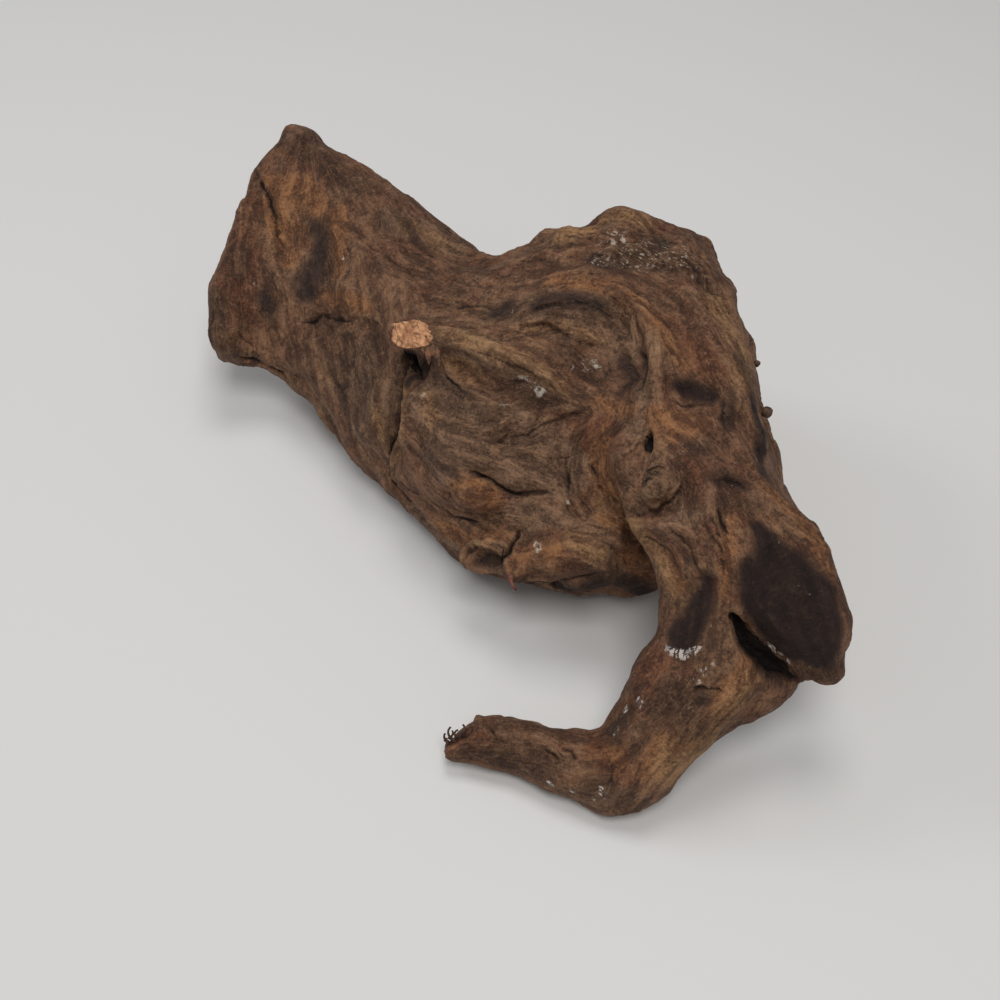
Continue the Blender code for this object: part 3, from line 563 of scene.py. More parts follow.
# Blots: where the wood is charred, sooty, gold, rusty, grey, tan, dark brown, pale, limy, scaly or shiny,
# each as blots whose places carry a radius in mm. Some blots paint light and shade rather than a stain: the
# near-black in the pocket under the broken side root, the soot and umber under the belly's rim and in the
# gap under the tongue, and the umber beside the panel's left edge are painted shade; the soot also darkens
# cracks and pits, the tan along the panel's left edge is a painted highlight, and the shiny blots carry
# painted glints. The skin stores how deep each point lies inside a blot, and the material frays its edge.
BLOTS = {
    "char_and_painted_shade": [
        [(756, 526, 2.6), (768, 552, 6), (782, 580, 10.5), (800, 610, 13), (812, 632, 11.5), (820, 652, 6)],
        [(748, 566, 3.0), (754, 596, 4.6), (768, 626, 5), (788, 650, 5.6)],
        [(709, 574, 1.6), (706, 594, 3.0), (695, 618, 4.4), (684, 637, 5.6)],
        [(678, 386, 2.2), (694, 390, 3.0), (712, 396, 2.4)],
        # painted shade: near-black in the pocket under the broken side root
        [(411, 356, 3.0), (419, 370, 3.0), (410, 384, 1.6)],
        [(751, 398, 1.2), (759, 420, 2.4), (763, 446, 2.8), (764, 474, 2.2)],
    ],
    "soot_and_painted_shade": [
        [(727, 408, 1.8), (731, 426, 2.2)],
        # painted shade: under the belly's lower rim
        [(524, 583, 2.4), (560, 584, 3.4), (600, 585, 4.2), (644, 590, 3.8)],
        [(314, 224, 1.6), (322, 238, 3.0), (318, 258, 4.2), (308, 278, 5.6), (306, 292, 4.0)],
        [(484, 560, 2.4), (474, 562, 2.0), (494, 562, 2.0)],
        [(592, 260, 2.0), (606, 268, 2.8), (620, 270, 2.0)],
        [(652, 238, 2.4), (664, 246, 2.6)],
        # painted shade: the gap under the tongue and the leg just below it
        [(744, 640, 1.6), (756, 660, 2.4), (780, 680, 2.6)],
        [(716, 480, 1.6), (732, 480, 2.4), (744, 486, 1.8)],
        [(496, 314, 2.4), (508, 306, 3.0)],
        [(640, 352, 1.6), (646, 364, 2.2), (645, 378, 2.0), (640, 390, 1.4)],
        # painted shade: the pocket under the broken side root
        [(430, 360, 1.6), (418, 384, 1.4)],
        [(536, 305, 2.0), (570, 298, 2.4), (600, 304, 2.2)],
        [(622, 360, 2.4), (632, 380, 3.0), (622, 392, 2.2)],
        [(262, 296, 2.4), (270, 306, 2.6)],
        [(700, 700, 1.4), (712, 698, 1.2)],
    ],
    "gold": [
        [(272, 182, 3.5), (300, 190, 7), (318, 212, 6), (300, 224, 5)],
        [(272, 200, 4.4), (282, 228, 6.0), (290, 258, 4.4)],
        [(300, 196, 6), (308, 214, 5)],
        [(336, 216, 5), (340, 244, 4), (338, 272, 3)],
        [(656, 414, 4), (676, 424, 6.5), (700, 424, 4)],
        [(604, 436, 3), (602, 470, 4.4), (612, 512, 5.6), (630, 546, 7), (646, 570, 5)],
        [(616, 286, 2.4), (644, 308, 2.6), (664, 336, 2.6), (684, 366, 2.2)],
        [(552, 280, 3), (584, 282, 3.4), (612, 286, 2.6)],
        [(630, 696, 3), (616, 714, 2.4)],
        [(612, 752, 3), (622, 764, 3.4)],
        [(650, 540, 3), (670, 562, 4), (676, 586, 3)],
        [(460, 488, 4), (478, 492, 5), (496, 498, 3.4)],
        [(758, 470, 2.0), (786, 506, 2.4), (814, 540, 2.4), (832, 572, 1.8)],
        [(752, 660, 4), (740, 690, 6), (716, 712, 4), (690, 742, 4)],
        [(730, 520, 2.4), (728, 560, 2.6), (724, 590, 2.4)],
        [(320, 296, 3), (340, 300, 3.4), (368, 306, 2.6)],
        [(440, 528, 3), (470, 540, 3.4), (500, 536, 3)],
        [(512, 568, 2.4), (532, 560, 3.4), (556, 556, 4)],
        [(646, 770, 3.4), (664, 744, 3.4)],
        [(600, 402, 2), (630, 412, 2.4)],
    ],
    "rust": [
        [(256, 200, 4), (244, 236, 7), (236, 276, 8), (246, 310, 6)],
        [(288, 146, 5), (318, 160, 5.5), (344, 176, 4)],
        [(302, 234, 2.4), (306, 244, 2.4)],
        [(486, 508, 3), (474, 486, 2.4)],
        [(520, 560, 5), (548, 548, 7), (576, 552, 6)],
        [(664, 320, 4), (690, 346, 5), (712, 372, 4)],
        [(644, 672, 3), (642, 682, 4)],
        [(612, 762, 4), (622, 780, 3.4)],
        [(580, 424, 4), (606, 430, 5), (590, 444, 4)],
        [(500, 258, 3), (474, 262, 2.6)],
        [(826, 672, 4), (806, 676, 3)],
        [(600, 748, 5), (616, 762, 6)],
        [(656, 662, 5), (644, 684, 7), (626, 708, 6), (604, 730, 4)],
        [(236, 250, 5), (244, 280, 4)],
        [(538, 562, 4)],
        [(730, 500, 4), (744, 516, 3.4)],
        [(456, 742, 4), (480, 738, 4)],
        [(690, 470, 4), (696, 500, 3.6)],
    ],
    "grey": [
        [(430, 400, 9), (470, 420, 12), (520, 450, 12), (560, 470, 10)],
        [(440, 462, 8), (480, 470, 7), (530, 480, 7)],
        [(520, 310, 6), (560, 316, 8), (600, 320, 8), (622, 350, 7)],
        [(380, 418, 5), (384, 444, 5)],
        [(430, 400, 5), (440, 436, 6)],
        [(650, 382, 2.6), (644, 404, 3.4), (636, 430, 4.4)],
        [(520, 512, 6), (560, 530, 7), (590, 540, 5)],
        [(360, 360, 7), (372, 400, 9), (360, 440, 7)],
        [(420, 520, 7), (450, 545, 6)],
        [(600, 262, 4), (630, 258, 5), (660, 258, 5)],
        [(390, 220, 5), (430, 232, 5), (456, 250, 4)],
        [(590, 798, 3), (606, 794, 3)],
        [(584, 546, 5), (612, 562, 6), (638, 582, 5)],
        [(740, 690, 4), (716, 722, 5), (690, 756, 5)],
        [(668, 520, 3), (690, 512, 5), (700, 496, 4)],
        [(430, 340, 4), (470, 352, 5), (510, 372, 5)],
    ],
    "tan": [
        [(752, 678, 3), (736, 704, 4), (704, 744, 4), (676, 776, 5)],
        [(672, 748, 4), (664, 768, 4)],
        [(438, 331, 2.8), (470, 339, 3.4), (510, 356, 3.2), (544, 378, 2.8), (562, 390, 2.2)],
        # painted highlight: the lit top of the panel's raised left edge
        [(409, 386, 1.8), (406, 410, 2.2), (403, 436, 2.0), (397, 458, 1.4)],
        [(520, 327, 1.6), (560, 325, 1.8), (600, 337, 1.8)],
        [(716, 300, 5), (734, 340, 6), (748, 380, 5)],
        [(560, 238, 3), (600, 226, 4), (640, 220, 4)],
        [(600, 504, 3), (640, 534, 4)],
        [(404, 224, 2.6), (440, 244, 3)],
        [(600, 556, 3.4), (576, 540, 3)],
        [(468, 549, 1.8), (490, 548, 1.8)],
        [(452, 364, 3), (476, 376, 3.4)],
        [(380, 420, 3), (386, 446, 3)],
        [(428, 398, 3), (436, 420, 3)],
        [(640, 540, 3), (660, 560, 4), (672, 590, 3)],
    ],
    "umber": [
        [(286, 140, 5), (312, 150, 7), (336, 168, 5), (356, 190, 4)],
        [(376, 350, 8), (368, 386, 6)],
        [(436, 372, 4), (446, 396, 5), (470, 404, 4)],
        [(430, 452, 4), (450, 464, 4)],
        [(384, 214, 4), (404, 230, 4), (436, 250, 3)],
        [(656, 486, 5)],
        [(640, 734, 4)],
        [(668, 690, 4), (692, 700, 5), (664, 712, 6)],
        [(692, 728, 5), (700, 712, 4)],
        [(240, 252, 5), (238, 272, 4)],
        [(540, 564, 3.4)],
        [(560, 352, 4), (600, 372, 4.4)],
        [(650, 262, 4), (698, 268, 4), (712, 290, 3)],
        [(822, 664, 7), (804, 672, 5)],
        [(704, 446, 4)],
        [(330, 330, 7), (344, 360, 9), (352, 400, 7)],
        # painted shadow: the neck beside the panel's raised left edge
        [(398, 360, 3), (394, 400, 3.4), (388, 450, 3)],
        [(500, 316, 3), (540, 306, 3.4), (580, 300, 3), (608, 308, 3)],
        [(488, 314, 3.6), (508, 318, 3)],
        [(590, 258, 3.6), (620, 256, 4), (650, 260, 4.4)],
        # painted shade: under the belly's lower rim
        [(524, 583, 3.4), (560, 584, 4.4), (600, 586, 5), (646, 588, 4.4)],
        [(500, 384, 3), (530, 396, 4), (556, 400, 3)],
        # painted shade: the gap under the tongue
        [(740, 640, 2.4), (766, 664, 3), (796, 680, 3)],
        [(720, 500, 3), (736, 500, 3.4), (752, 506, 3)],
        [(740, 360, 3), (756, 400, 3), (764, 440, 3.4), (768, 480, 3)],
        [(626, 716, 4), (612, 736, 4)],
        [(592, 790, 5), (610, 792, 5)],
        [(470, 752, 3), (510, 762, 4), (550, 772, 4)],
        [(676, 470, 3), (684, 490, 3), (676, 508, 3)],
        [(304, 218, 2.4), (322, 228, 4), (326, 262, 6), (312, 292, 5)],
        [(262, 296, 4), (270, 310, 4)],
        [(214, 300, 5), (216, 336, 5), (236, 356, 3)],
    ],
    "pale": [
        [(404, 331, 2.0), (414, 334, 2.0)],
    ],
    "lime": [
        [(538, 392, 1.8), (542, 390, 1.2)],
        [(520, 378, 0.7), (528, 382, 0.8)],
        [(538, 545, 1.2), (540, 550, 1.0)],
        [(613, 240, 0.4), (614, 246, 0.4)],
        [(622, 236, 0.4), (625, 243, 0.4)],
        [(572, 368, 0.6)],
        [(592, 362, 0.7), (600, 368, 0.6)],
        [(568, 502, 0.6)],
        [(424, 396, 0.4)],
        [(254, 284, 0.3), (257, 278, 0.3)],
        [(276, 291, 0.4), (278, 287, 0.4)],
        [(344, 258, 0.4)],
        [(352, 272, 0.3)],
        [(622, 427, 0.4)],
        [(500, 408, 0.5), (508, 404, 0.4)],
    ],
    "scale": [
        [(596, 262, 3), (612, 240, 6), (624, 262, 6), (650, 252, 7), (676, 252, 6), (690, 270, 4)],
        [(536, 388, 3), (520, 380, 3)],
        [(590, 362, 3)],
    ],
    "shine": [
        # painted glints: whitish flecks on these slick spots stand for highlights
        [(667, 648, 0.8), (675, 653, 1.3), (684, 655, 1.5), (693, 652, 1.3), (700, 648, 0.8)],
        [(640, 701, 1.3), (641, 704, 1.2)],
        [(625, 709, 1.2)],
        [(622, 716, 0.8)],
        [(617, 726, 1.0)],
        [(614, 735, 1.0)],
        [(697, 681, 1.0)],
        [(703, 672, 1.1), (706, 669, 0.8)],
        [(713, 664, 0.8)],
        [(600, 788, 0.9), (604, 794, 1.1)],
        [(597, 799, 0.8)],
        [(548, 782, 0.8), (552, 787, 0.8)],
        [(568, 790, 0.8), (574, 793, 0.8)],
        [(768, 645, 0.9), (778, 653, 0.9), (788, 661, 0.8)],
    ],
}


def blot_share(points, normals, blots):
    """A blot's share from 0 to 1, one half at the edge of its blots."""
    depth = np.full(len(points), -9.0)
    for blot in blots:
        depth = np.maximum(depth, near_blot(points, blot))
    scale = np.where(depth > 0, 3.0, 2.5)
    return np.clip(0.5 + 0.5 * depth / scale, 0, 1) * seen_way(points, normals)


def crack_lines(points, normals):
    """How far each point lies from the nearest crack, signed by its side, and the crack's width, in mm."""
    side = np.zeros(len(points))
    width = np.zeros(len(points))
    nearest = np.full(len(points), 1e9)
    way = seen_way(points, normals)
    shaken = wandering(points)
    gape = np.clip(0.75 + 1.1 * noise3(points / 5.5, 75), 0.1, 1.3)
    for places, half_width, *_ in CRACKS:
        path = seen_path(places)
        where, off, place, closest = near_path(shaken, path, 4.0)
        hand = right_hand(shaken, normals, path, where, closest)
        ends = np.clip(np.minimum(place, 1 - place) * 4, 0, 1) * soft_step(3.4, 2.2, off)
        closer = off < nearest[where]
        chosen = where[closer]
        nearest[chosen] = off[closer]
        side[chosen] = (hand * np.minimum(off, 4))[closer]
        half = width_along(place, half_width)
        wander = np.where(half > 0.8, 0.8 + 0.2 * gape[where], gape[where])
        width[chosen] = (half * ends * way[where] * wander)[closer]
    return side, width


def smoothed(values, edges, counts, rounds):
    """Values averaged with their neighbours that many times."""
    for _ in range(rounds):
        total = np.empty_like(values)
        for k in range(values.shape[1]):
            total[:, k] = np.bincount(edges[:, 0], values[edges[:, 1], k], len(values))
            total[:, k] += np.bincount(edges[:, 1], values[edges[:, 0], k], len(values))
        values = (values + total / counts[:, None]) / 2
    return values


def hollowness(mesh, points, normals, rounds):
    """How far the skin lies below its smoothed self, in mm; below nothing on ridges."""
    edges = np.empty(len(mesh.edges) * 2, dtype=np.int32)
    mesh.edges.foreach_get("vertices", edges)
    edges = edges.reshape(-1, 2)
    counts = np.bincount(edges.ravel(), minlength=len(points)).astype(float)
    return ((smoothed(points, edges, counts, rounds) - points) * normals).sum(1)


points, normals = mesh_points(root.data)
grid, first = flow_grid(points)
carried = streamlines(points, normals, grid, first)
side, width = crack_lines(points, normals)
blot_shares = {name: blot_share(points, normals, blots) for name, blots in BLOTS.items()}
height = relief(points, normals, carried)
grounded = soft_step(0.0, 2.5, points[:, 2])
points += normals * (height * grounded)[:, None]
points[:, 2] = np.maximum(points[:, 2], 0)
root.data.vertices.foreach_set("co", (points * MM).ravel())
root.data.update()
points, normals = mesh_points(root.data)
marks = {**blot_shares, "flow": flow_at(points, normals, grid, first), "crack": side, "gape": width}
marks["strand"] = drawn_out(carried, 2.6, 41, 5)
# Dips are the fine creases, a point or two across, and hollows the wider ones. The wood's colour lays
# painted shade in both and a painted highlight on the ridges.
marks["dip"] = hollowness(root.data, points, normals, 3)
marks["hollow"] = hollowness(root.data, points, normals, 24)

# The fine skin is thinned, and each point that is left takes the marks of the nearest fine one.
lookup = KDTree(len(points))
for number, point in enumerate(points):
    lookup.insert(point, number)
lookup.balance()
thin = root.modifiers.new("even out", "DECIMATE")
thin.ratio = min(1, MOST_TRIANGLES / (2 * len(root.data.polygons)))
thin.use_collapse_triangulate = True
keep_modified(root)
final, _ = mesh_points(root.data)
order = np.array([lookup.find(point)[1] for point in final])
for name, values in marks.items():
    kind, entry = ("FLOAT_VECTOR", "vector") if name == "flow" else ("FLOAT", "value")
    layer = root.data.attributes.new(name, kind, "POINT")
    layer.data.foreach_set(entry, values[order].ravel())
root.data.shade_smooth()
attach(root, "root")
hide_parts("driftwood")


def linear(code):
    """A colour of the screen, such as #6b4e38, as the renderer's linear values."""
    values = [int(code[k : k + 2], 16) / 255 for k in (1, 3, 5)]
    return (*[v / 12.92 if v <= 0.04045 else ((v + 0.055) / 1.055) ** 2.4 for v in values], 1)


def add(tree, kind, links=(), out=0, **settings):
    """Adds a node with its settings; links are its inputs, each a value or another node's output."""
    node = tree.nodes.new("ShaderNode" + kind)
    for name, value in settings.items():
        setattr(node, name, value)
    for socket, value in links.items() if isinstance(links, dict) else enumerate(links):
        if isinstance(value, bpy.types.NodeSocket):
            tree.links.new(value, node.inputs[socket])
        else:
            node.inputs[socket].default_value = value
    return node.outputs[out]


# Weathered root wood: dry and matt, its hard fibres tan and its soft ones dark, so that the eye follows its
# streaks; water, fire and resin have left it charred, gold, rusty and grey, and slick in a few places. Its
# colour also holds painted shade in creases, hollows, cracks and pockets and under overhangs, a painted
# highlight on ridges, and painted glints on the slick places.
SOFT = {"interpolation_type": "SMOOTHSTEP"}
BLEND = {"data_type": "RGBA", "out": 2}
wood = bpy.data.materials.new("weathered root wood")
wood.use_nodes = True
tree = wood.node_tree
shader = tree.nodes["Principled BSDF"]
place = add(tree, "TexCoord", out="Object")
mark = {name: add(tree, "Attribute", out="Fac", attribute_name=name) for name in marks if name != "flow"}
flow = add(tree, "Attribute", out="Vector", attribute_name="flow")
cloud, blotch, mottle, fleck, grain = [
    add(
        tree, "TexNoise",
        {"Vector": place, "Scale": 1000 / wide, "Detail": detail, "Roughness": uneven, "Distortion": bent},
    )
    for wide, detail, uneven, bent in (
        # each noise's marks are that wide in mm
        (24, 3, 0.55, 0),
        (8, 4, 0.6, 0.8),
        (3.2, 5, 0.8, 0.6),
        (1.6, 2, 0.7, 0),
        (0.9, 3, 0.7, 0),
    )
]


def fibre_marks(width, stride, spread=0.62):
    """Marks that wide in mm, drawn out along the fibres by adding up the noise a few strides along them."""
    total = 0.0
    for count in range(-2, 3):
        shift = (count * stride * MM,) * 3
        met = add(tree, "VectorMath", (flow, shift, place), operation="MULTIPLY_ADD")
        noise_met = add(tree, "TexNoise", {"Vector": met, "Scale": 1000 / width, "Detail": 2})
        total = add(tree, "Math", (noise_met, total), operation="ADD")
    return add(tree, "MapRange", (total, 2.5 - spread, 2.5 + spread), **SOFT)


fuzz = fibre_marks(0.55, 0.35)
hair = fibre_marks(1.2, 0.7)
bundle = fibre_marks(3.4, 2.2)
strand = add(tree, "MapRange", (mark["strand"], -0.8, 0.8), **SOFT)
tone = -0.32
for part, weight in ((bundle, 0.20), (hair, 0.18), (mottle, 0.40), (grain, 0.60), (strand, 0.22)):
    tone = add(tree, "Math", (part, weight, tone), operation="MULTIPLY_ADD")
streak = add(tree, "MapRange", (tone, 0.27, 0.73), **SOFT)
ragged = 0.0
for part, weight in ((bundle, 0.26), (hair, 0.14), (blotch, 0.40), (grain, 0.20)):
    ragged = add(tree, "Math", (part, weight, ragged), operation="MULTIPLY_ADD")


def frayed(name, amount=0.5, soft=0.16, most=1.0):
    """A blot's share, its edge broken up along the fibres."""
    broken = add(tree, "Math", (ragged, amount, mark[name]), operation="MULTIPLY_ADD")
    edge = 0.5 + 0.5 * amount
    share = add(tree, "MapRange", (broken, edge - soft, edge + soft, 0.0, most), **SOFT)
    return add(tree, "MapRange", (mark[name], 0.0, 0.2, 0.0, share), **SOFT)


# Each colour is laid over the ones before it by its share: a blot's frayed share, or a value, where that
# starts and ends to count, and its least and most. Then come the soft fibres' colour and the hard ones',
# where they differ.
colour = add(tree, "Mix", {0: streak, 6: linear("#4a3124"), 7: linear("#865f47")}, **BLEND)
for share, dark, light in (
    ((cloud, 0.42, 0.62), "#533a2b", "#957054"),
    ((blotch, 0.48, 0.66, 0.0, 0.7), "#472a1f", "#7a503a"),
    ((blotch, 0.46, 0.30, 0.0, 0.5), "#392820", "#6a4f40"),
    (frayed("grey", 0.7, 0.4, 0.7), "#553f31", "#99785f"),
    (frayed("rust", 0.7, 0.4, 0.65), "#45271b", "#7f4f36"),
    (frayed("gold", 0.7, 0.4, 0.82), "#5f3d28", "#a8744c"),
    # tan: light tan wood, and a painted highlight along the panel's left edge
    (frayed("tan", 0.7, 0.4, 0.8), "#65462f", "#b0875f"),
    # dark brown: darker patches of the wood, and painted shade beside the panel's edge, under the belly's
    # rim and under the tongue
    (frayed("umber", 0.7, 0.4, 0.7), "#2c1d15", "#594031"),
    ((fuzz, 0.40, 0.05, 0.0, 0.22), "#2c1c14", None),
    ((fuzz, 0.60, 1.0, 0.0, 0.22), "#8a674c", "#b29170"),
    ((mottle, 0.47, 0.34, 0.0, 0.5), "#2e1e16", None),
    ((mottle, 0.55, 0.70, 0.0, 0.4), "#86644c", "#b49474"),
    # painted shade in fine creases and wider hollows, and a painted highlight on ridges
    ((mark["dip"], 0.02, 0.30, 0.0, 0.65), "#26170f", None),
    ((mark["hollow"], 0.5, 2.6, 0.0, 0.5), "#2a1911", None),
    ((mark["dip"], -0.03, -0.25, 0.0, 0.35), "#8a694e", "#b08f6d"),
    # soot-dark: a dark patch on the flared end, darker cracks and pits, and painted shade in the pocket
    # under the side root, under the belly's rim and under the tongue
    (frayed("soot_and_painted_shade", 0.8, 0.45, 0.85), "#1d1410", "#41302a"),
):
    if isinstance(share, tuple):
        share = add(tree, "MapRange", share, **SOFT)
    layer = linear(dark)
    if light:
        layer = add(tree, "Mix", {0: streak, 6: layer, 7: linear(light)}, **BLEND)
    colour = add(tree, "Mix", {0: share, 6: colour, 7: layer}, **BLEND)

# Charcoal is nearly black with brown and greyish flakes, and the same near-black is painted shade in the
# pocket under the broken side root; torn wood shows its light inner fibres.
flakes = add(tree, "MapRange", (ragged, 0.25, 0.75), **SOFT)
char_and_painted_shade = add(tree, "Mix", {0: flakes, 6: linear("#110a0a"), 7: linear("#2e1f1c")}, **BLEND)
ash = add(tree, "MapRange", (mottle, 0.54, 0.68, 0.0, 0.5), **SOFT)
char_and_painted_shade = add(tree, "Mix", {0: ash, 6: char_and_painted_shade, 7: linear("#44322c")}, **BLEND)
colour = add(tree, "Mix", {0: frayed("char_and_painted_shade", 0.9, 0.34, 0.94), 6: colour, 7: char_and_painted_shade}, **BLEND)
torn = add(tree, "MapRange", (hair, 0.2, 0.75), **SOFT)
pale = add(tree, "Mix", {0: torn, 6: linear("#99613f"), 7: linear("#e6b78a")}, **BLEND)
colour = add(tree, "Mix", {0: frayed("pale", 0.3, 0.12), 6: colour, 7: pale}, **BLEND)

# Cracks are painted near-black inside as their shade, with painted shade in a brown band beside them. Over
# it all lie spots of lime, pale flecks and bark scales, and painted glints: whitish flecks on the slick
# places.
# painted shade: the dark inside each crack and the brown band beside it
gap = add(tree, "Math", (mark["crack"], 0.0), operation="ABSOLUTE")
gap = add(tree, "Math", (gap, mark["gape"]), operation="SUBTRACT")
gap = add(tree, "Math", (hair, 0.5, gap), operation="MULTIPLY_ADD")
opened = add(tree, "MapRange", (mark["gape"], 0.02, 0.2, 0.0, 0.5), **SOFT)
crease_shade = add(tree, "MapRange", (gap, 1.9, 0.3, 0.0, opened), **SOFT)
opened = add(tree, "MapRange", (mark["gape"], 0.04, 0.25, 0.0, 0.9), **SOFT)
inside = add(tree, "MapRange", (gap, 0.55, 0.15, 0.0, opened), **SOFT)
scales = add(tree, "Math", (fuzz, 0.25, fleck), operation="MULTIPLY_ADD")
slick = frayed("shine", 0.25, 0.08)
# painted glints: whitish flecks where the wood is slick
glint_flecks = add(tree, "Math", (hair, 0.5, fleck), operation="MULTIPLY_ADD")
for share, plain in (
    (crease_shade, "#24160f"),
    (inside, "#120b09"),
    ((fleck, 0.38, 0.52, 0.0, frayed("lime", 0.5, 0.1)), "#cdc2b4"),
    ((fleck, 0.72, 0.78, 0.0, 0.6), "#b09c86"),
    ((scales, 0.73, 0.80, 0.0, frayed("scale", 0.6, 0.4, 0.7)), "#b8a999"),
    ((glint_flecks, 0.72, 0.80, 0.0, frayed("shine", 0.25, 0.08, 0.9)), "#d8ccc4"),
):
    if isinstance(share, tuple):
        share = add(tree, "MapRange", share, **SOFT)
    colour = add(tree, "Mix", {0: share, 6: colour, 7: linear(plain)}, **BLEND)
tree.links.new(colour, shader.inputs["Base Color"])

rough = add(tree, "MapRange", (hair, 0.0, 1.0, 0.64, 0.84), **SOFT)
rough = add(tree, "Math", (slick, -0.5, rough), operation="MULTIPLY_ADD")
tree.links.new(rough, shader.inputs["Roughness"])
ripple = 0.0
parts = ((hair, 0.35), (mottle, 0.9), (bundle, 0.35), (grain, 0.9), (fuzz, 0.15), (inside, -1.5))
for part, weight in parts:
    ripple = add(tree, "Math", (part, weight, ripple), operation="MULTIPLY_ADD")
bump = add(tree, "Bump", {"Height": ripple, "Strength": 0.9, "Distance": 0.8 * MM})
tree.links.new(bump, shader.inputs["Normal"])
shader.inputs["Specular IOR Level"].default_value = 0.28
shader.inputs["Coat Roughness"].default_value = 0.12
tree.links.new(slick, shader.inputs["Coat Weight"])
root.data.materials.clear()
root.data.materials.append(wood)


# Root hairs: a tuft of dried feeder roots left on the toe, each about 1 mm thick, curled back on itself and
# tapering to its tip. Each is one run of wood that starts inside the skin, where it grew out.
def grow(mesh, stations, sides=8):
    """A closed, tapering run of wood through stations, each a point and a radius in mm."""
    made = bmesh.ops.create_circle(mesh, segments=sides, radius=1)["verts"]
    edges = list({edge for vert in made for edge in vert.link_edges})
    frame_now = Matrix()
    for number, (point, radius) in enumerate(stations):
        before = stations[max(number - 1, 0)][0]
        after = stations[min(number + 1, len(stations) - 1)][0]
        turn = (Vector(after) - Vector(before)).to_track_quat("Z", "Y").to_matrix().to_4x4()
        place = Matrix.Translation(Vector(point) * MM) @ turn @ Matrix.Scale(radius * MM, 4)
        if number:
            out = bmesh.ops.extrude_edge_only(mesh, edges=edges)["geom"]
            made = [item for item in out if isinstance(item, bmesh.types.BMVert)]
            edges = [item for item in out if isinstance(item, bmesh.types.BMEdge)]
        bmesh.ops.transform(mesh, matrix=place @ frame_now.inverted(), verts=made)
        frame_now = place
    bmesh.ops.holes_fill(mesh, edges=[edge for edge in mesh.edges if edge.is_boundary])


def add_growth(name, mesh, material):
    """Makes a small growth's object, which rides on the root."""
    bmesh.ops.recalc_face_normals(mesh, faces=mesh.faces)
    data = bpy.data.meshes.new(name)
    mesh.to_mesh(data)
    mesh.free()
    piece = bpy.data.objects.new(name, data)
    bpy.context.scene.collection.objects.link(piece)
    data.materials.append(material)
    data.shade_smooth()
    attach(piece, "root")
    return piece


def growth_wood(name, dark, light, width, drawn=1.0):
    """Dry, matt wood of a small growth, mottled in two browns by marks that wide in mm."""
    material = bpy.data.materials.new(name)
    material.use_nodes = True
    nodes = material.node_tree
    surface = nodes.nodes["Principled BSDF"]
    own = add(nodes, "TexCoord", out="Object")
    own = add(nodes, "VectorMath", (own, (1.0, drawn, drawn)), operation="MULTIPLY")
    streaks = add(nodes, "TexNoise", {"Vector": own, "Scale": 1000 / width, "Detail": 4, "Distortion": 0.6})
    share = add(nodes, "MapRange", (streaks, 0.36, 0.64))
    browns = add(nodes, "Mix", {0: share, 6: linear(dark), 7: linear(light)}, **BLEND)
    bumps = add(nodes, "Bump", {"Height": streaks, "Strength": 0.6, "Distance": 0.4 * MM})
    nodes.links.new(browns, surface.inputs["Base Color"])
    nodes.links.new(bumps, surface.inputs["Normal"])
    surface.inputs["Roughness"].default_value = 0.75
    return material


skin_tree = BVHTree.FromObject(root, bpy.context.evaluated_depsgraph_get())


def on_skin(column, row):
    """The finished skin's point, in mm, and its normal at a place of the picture."""
    point, normal, _, _ = skin_tree.ray_cast(EYE, sight(column, row))
    return point * 1000, normal


HAIRS = [
    # place and length in mm
    (449, 744, 4.0),
    (453, 742, 5.5),
    (457, 740, 4.5),
    (460, 739, 5.5),
    (464, 737, 4.0),
    (447, 746, 3.0),
    (455, 743, 6.0),
]
CURL_STEPS = 12
hairs = bmesh.new()
for number, (column, row, length) in enumerate(HAIRS):
    base, out = on_skin(column, row)
    rise = (VIEW_UP * 0.9 + out * 0.3 + VIEW_BACK * 0.3).normalized()
    side = rise.cross(VIEW_BACK).normalized()
    stations = [(base - out * 0.8, 0.75), (base + rise * 0.2, 0.62)]
    turns = 4.6 + 1.3 * (number % 3)
    for count in range(1, CURL_STEPS + 1):
        share = count / CURL_STEPS
        angle = (turns if number % 2 else -turns) * share**1.2 + number
        curl = length * 0.34 * share**0.7
        bent = side * (math.cos(angle) - math.cos(number))
        bent += VIEW_UP * (math.sin(angle) - math.sin(number)) * 0.7
        point = base + rise * (0.2 + length * 0.8 * share) + bent * curl * 0.6
        stations.append((point, 0.58 - 0.26 * share))
    grow(hairs, stations, 6)
# Dried feeder root: dark brown and dull, a little lighter where its skin has rubbed off.
add_growth("root_hairs", hairs, growth_wood("dried feeder root", "#2a1a13", "#5d4030", 1.2))

# Twig: the stump of a side shoot in its reddish bark, 1 to 2 mm thick. It grows out of the tip of the front
# lobe, hangs down from it, and is broken off thin.
twig = bmesh.new()
base, out = on_skin(511, 574)
stations = [(base - out * 1.5, 1.2), (base + out * 0.2 - VIEW_UP * 1.2, 0.95)]
for drop, sway, radius in ((2.4, 0.3, 0.75), (3.6, 1.0, 0.62), (4.6, 1.3, 0.66), (5.3, 2.0, 0.4)):
    stations.append((base + out * 0.4 - VIEW_UP * drop + Vector((sway, 0, 0)), radius))
grow(twig, stations, 9)
# Red shoot bark: thin and smooth, so its two reds mix softly.
add_growth("lobe_twig", twig, growth_wood("red shoot bark", "#4e2a20", "#8b5644", 1.5))

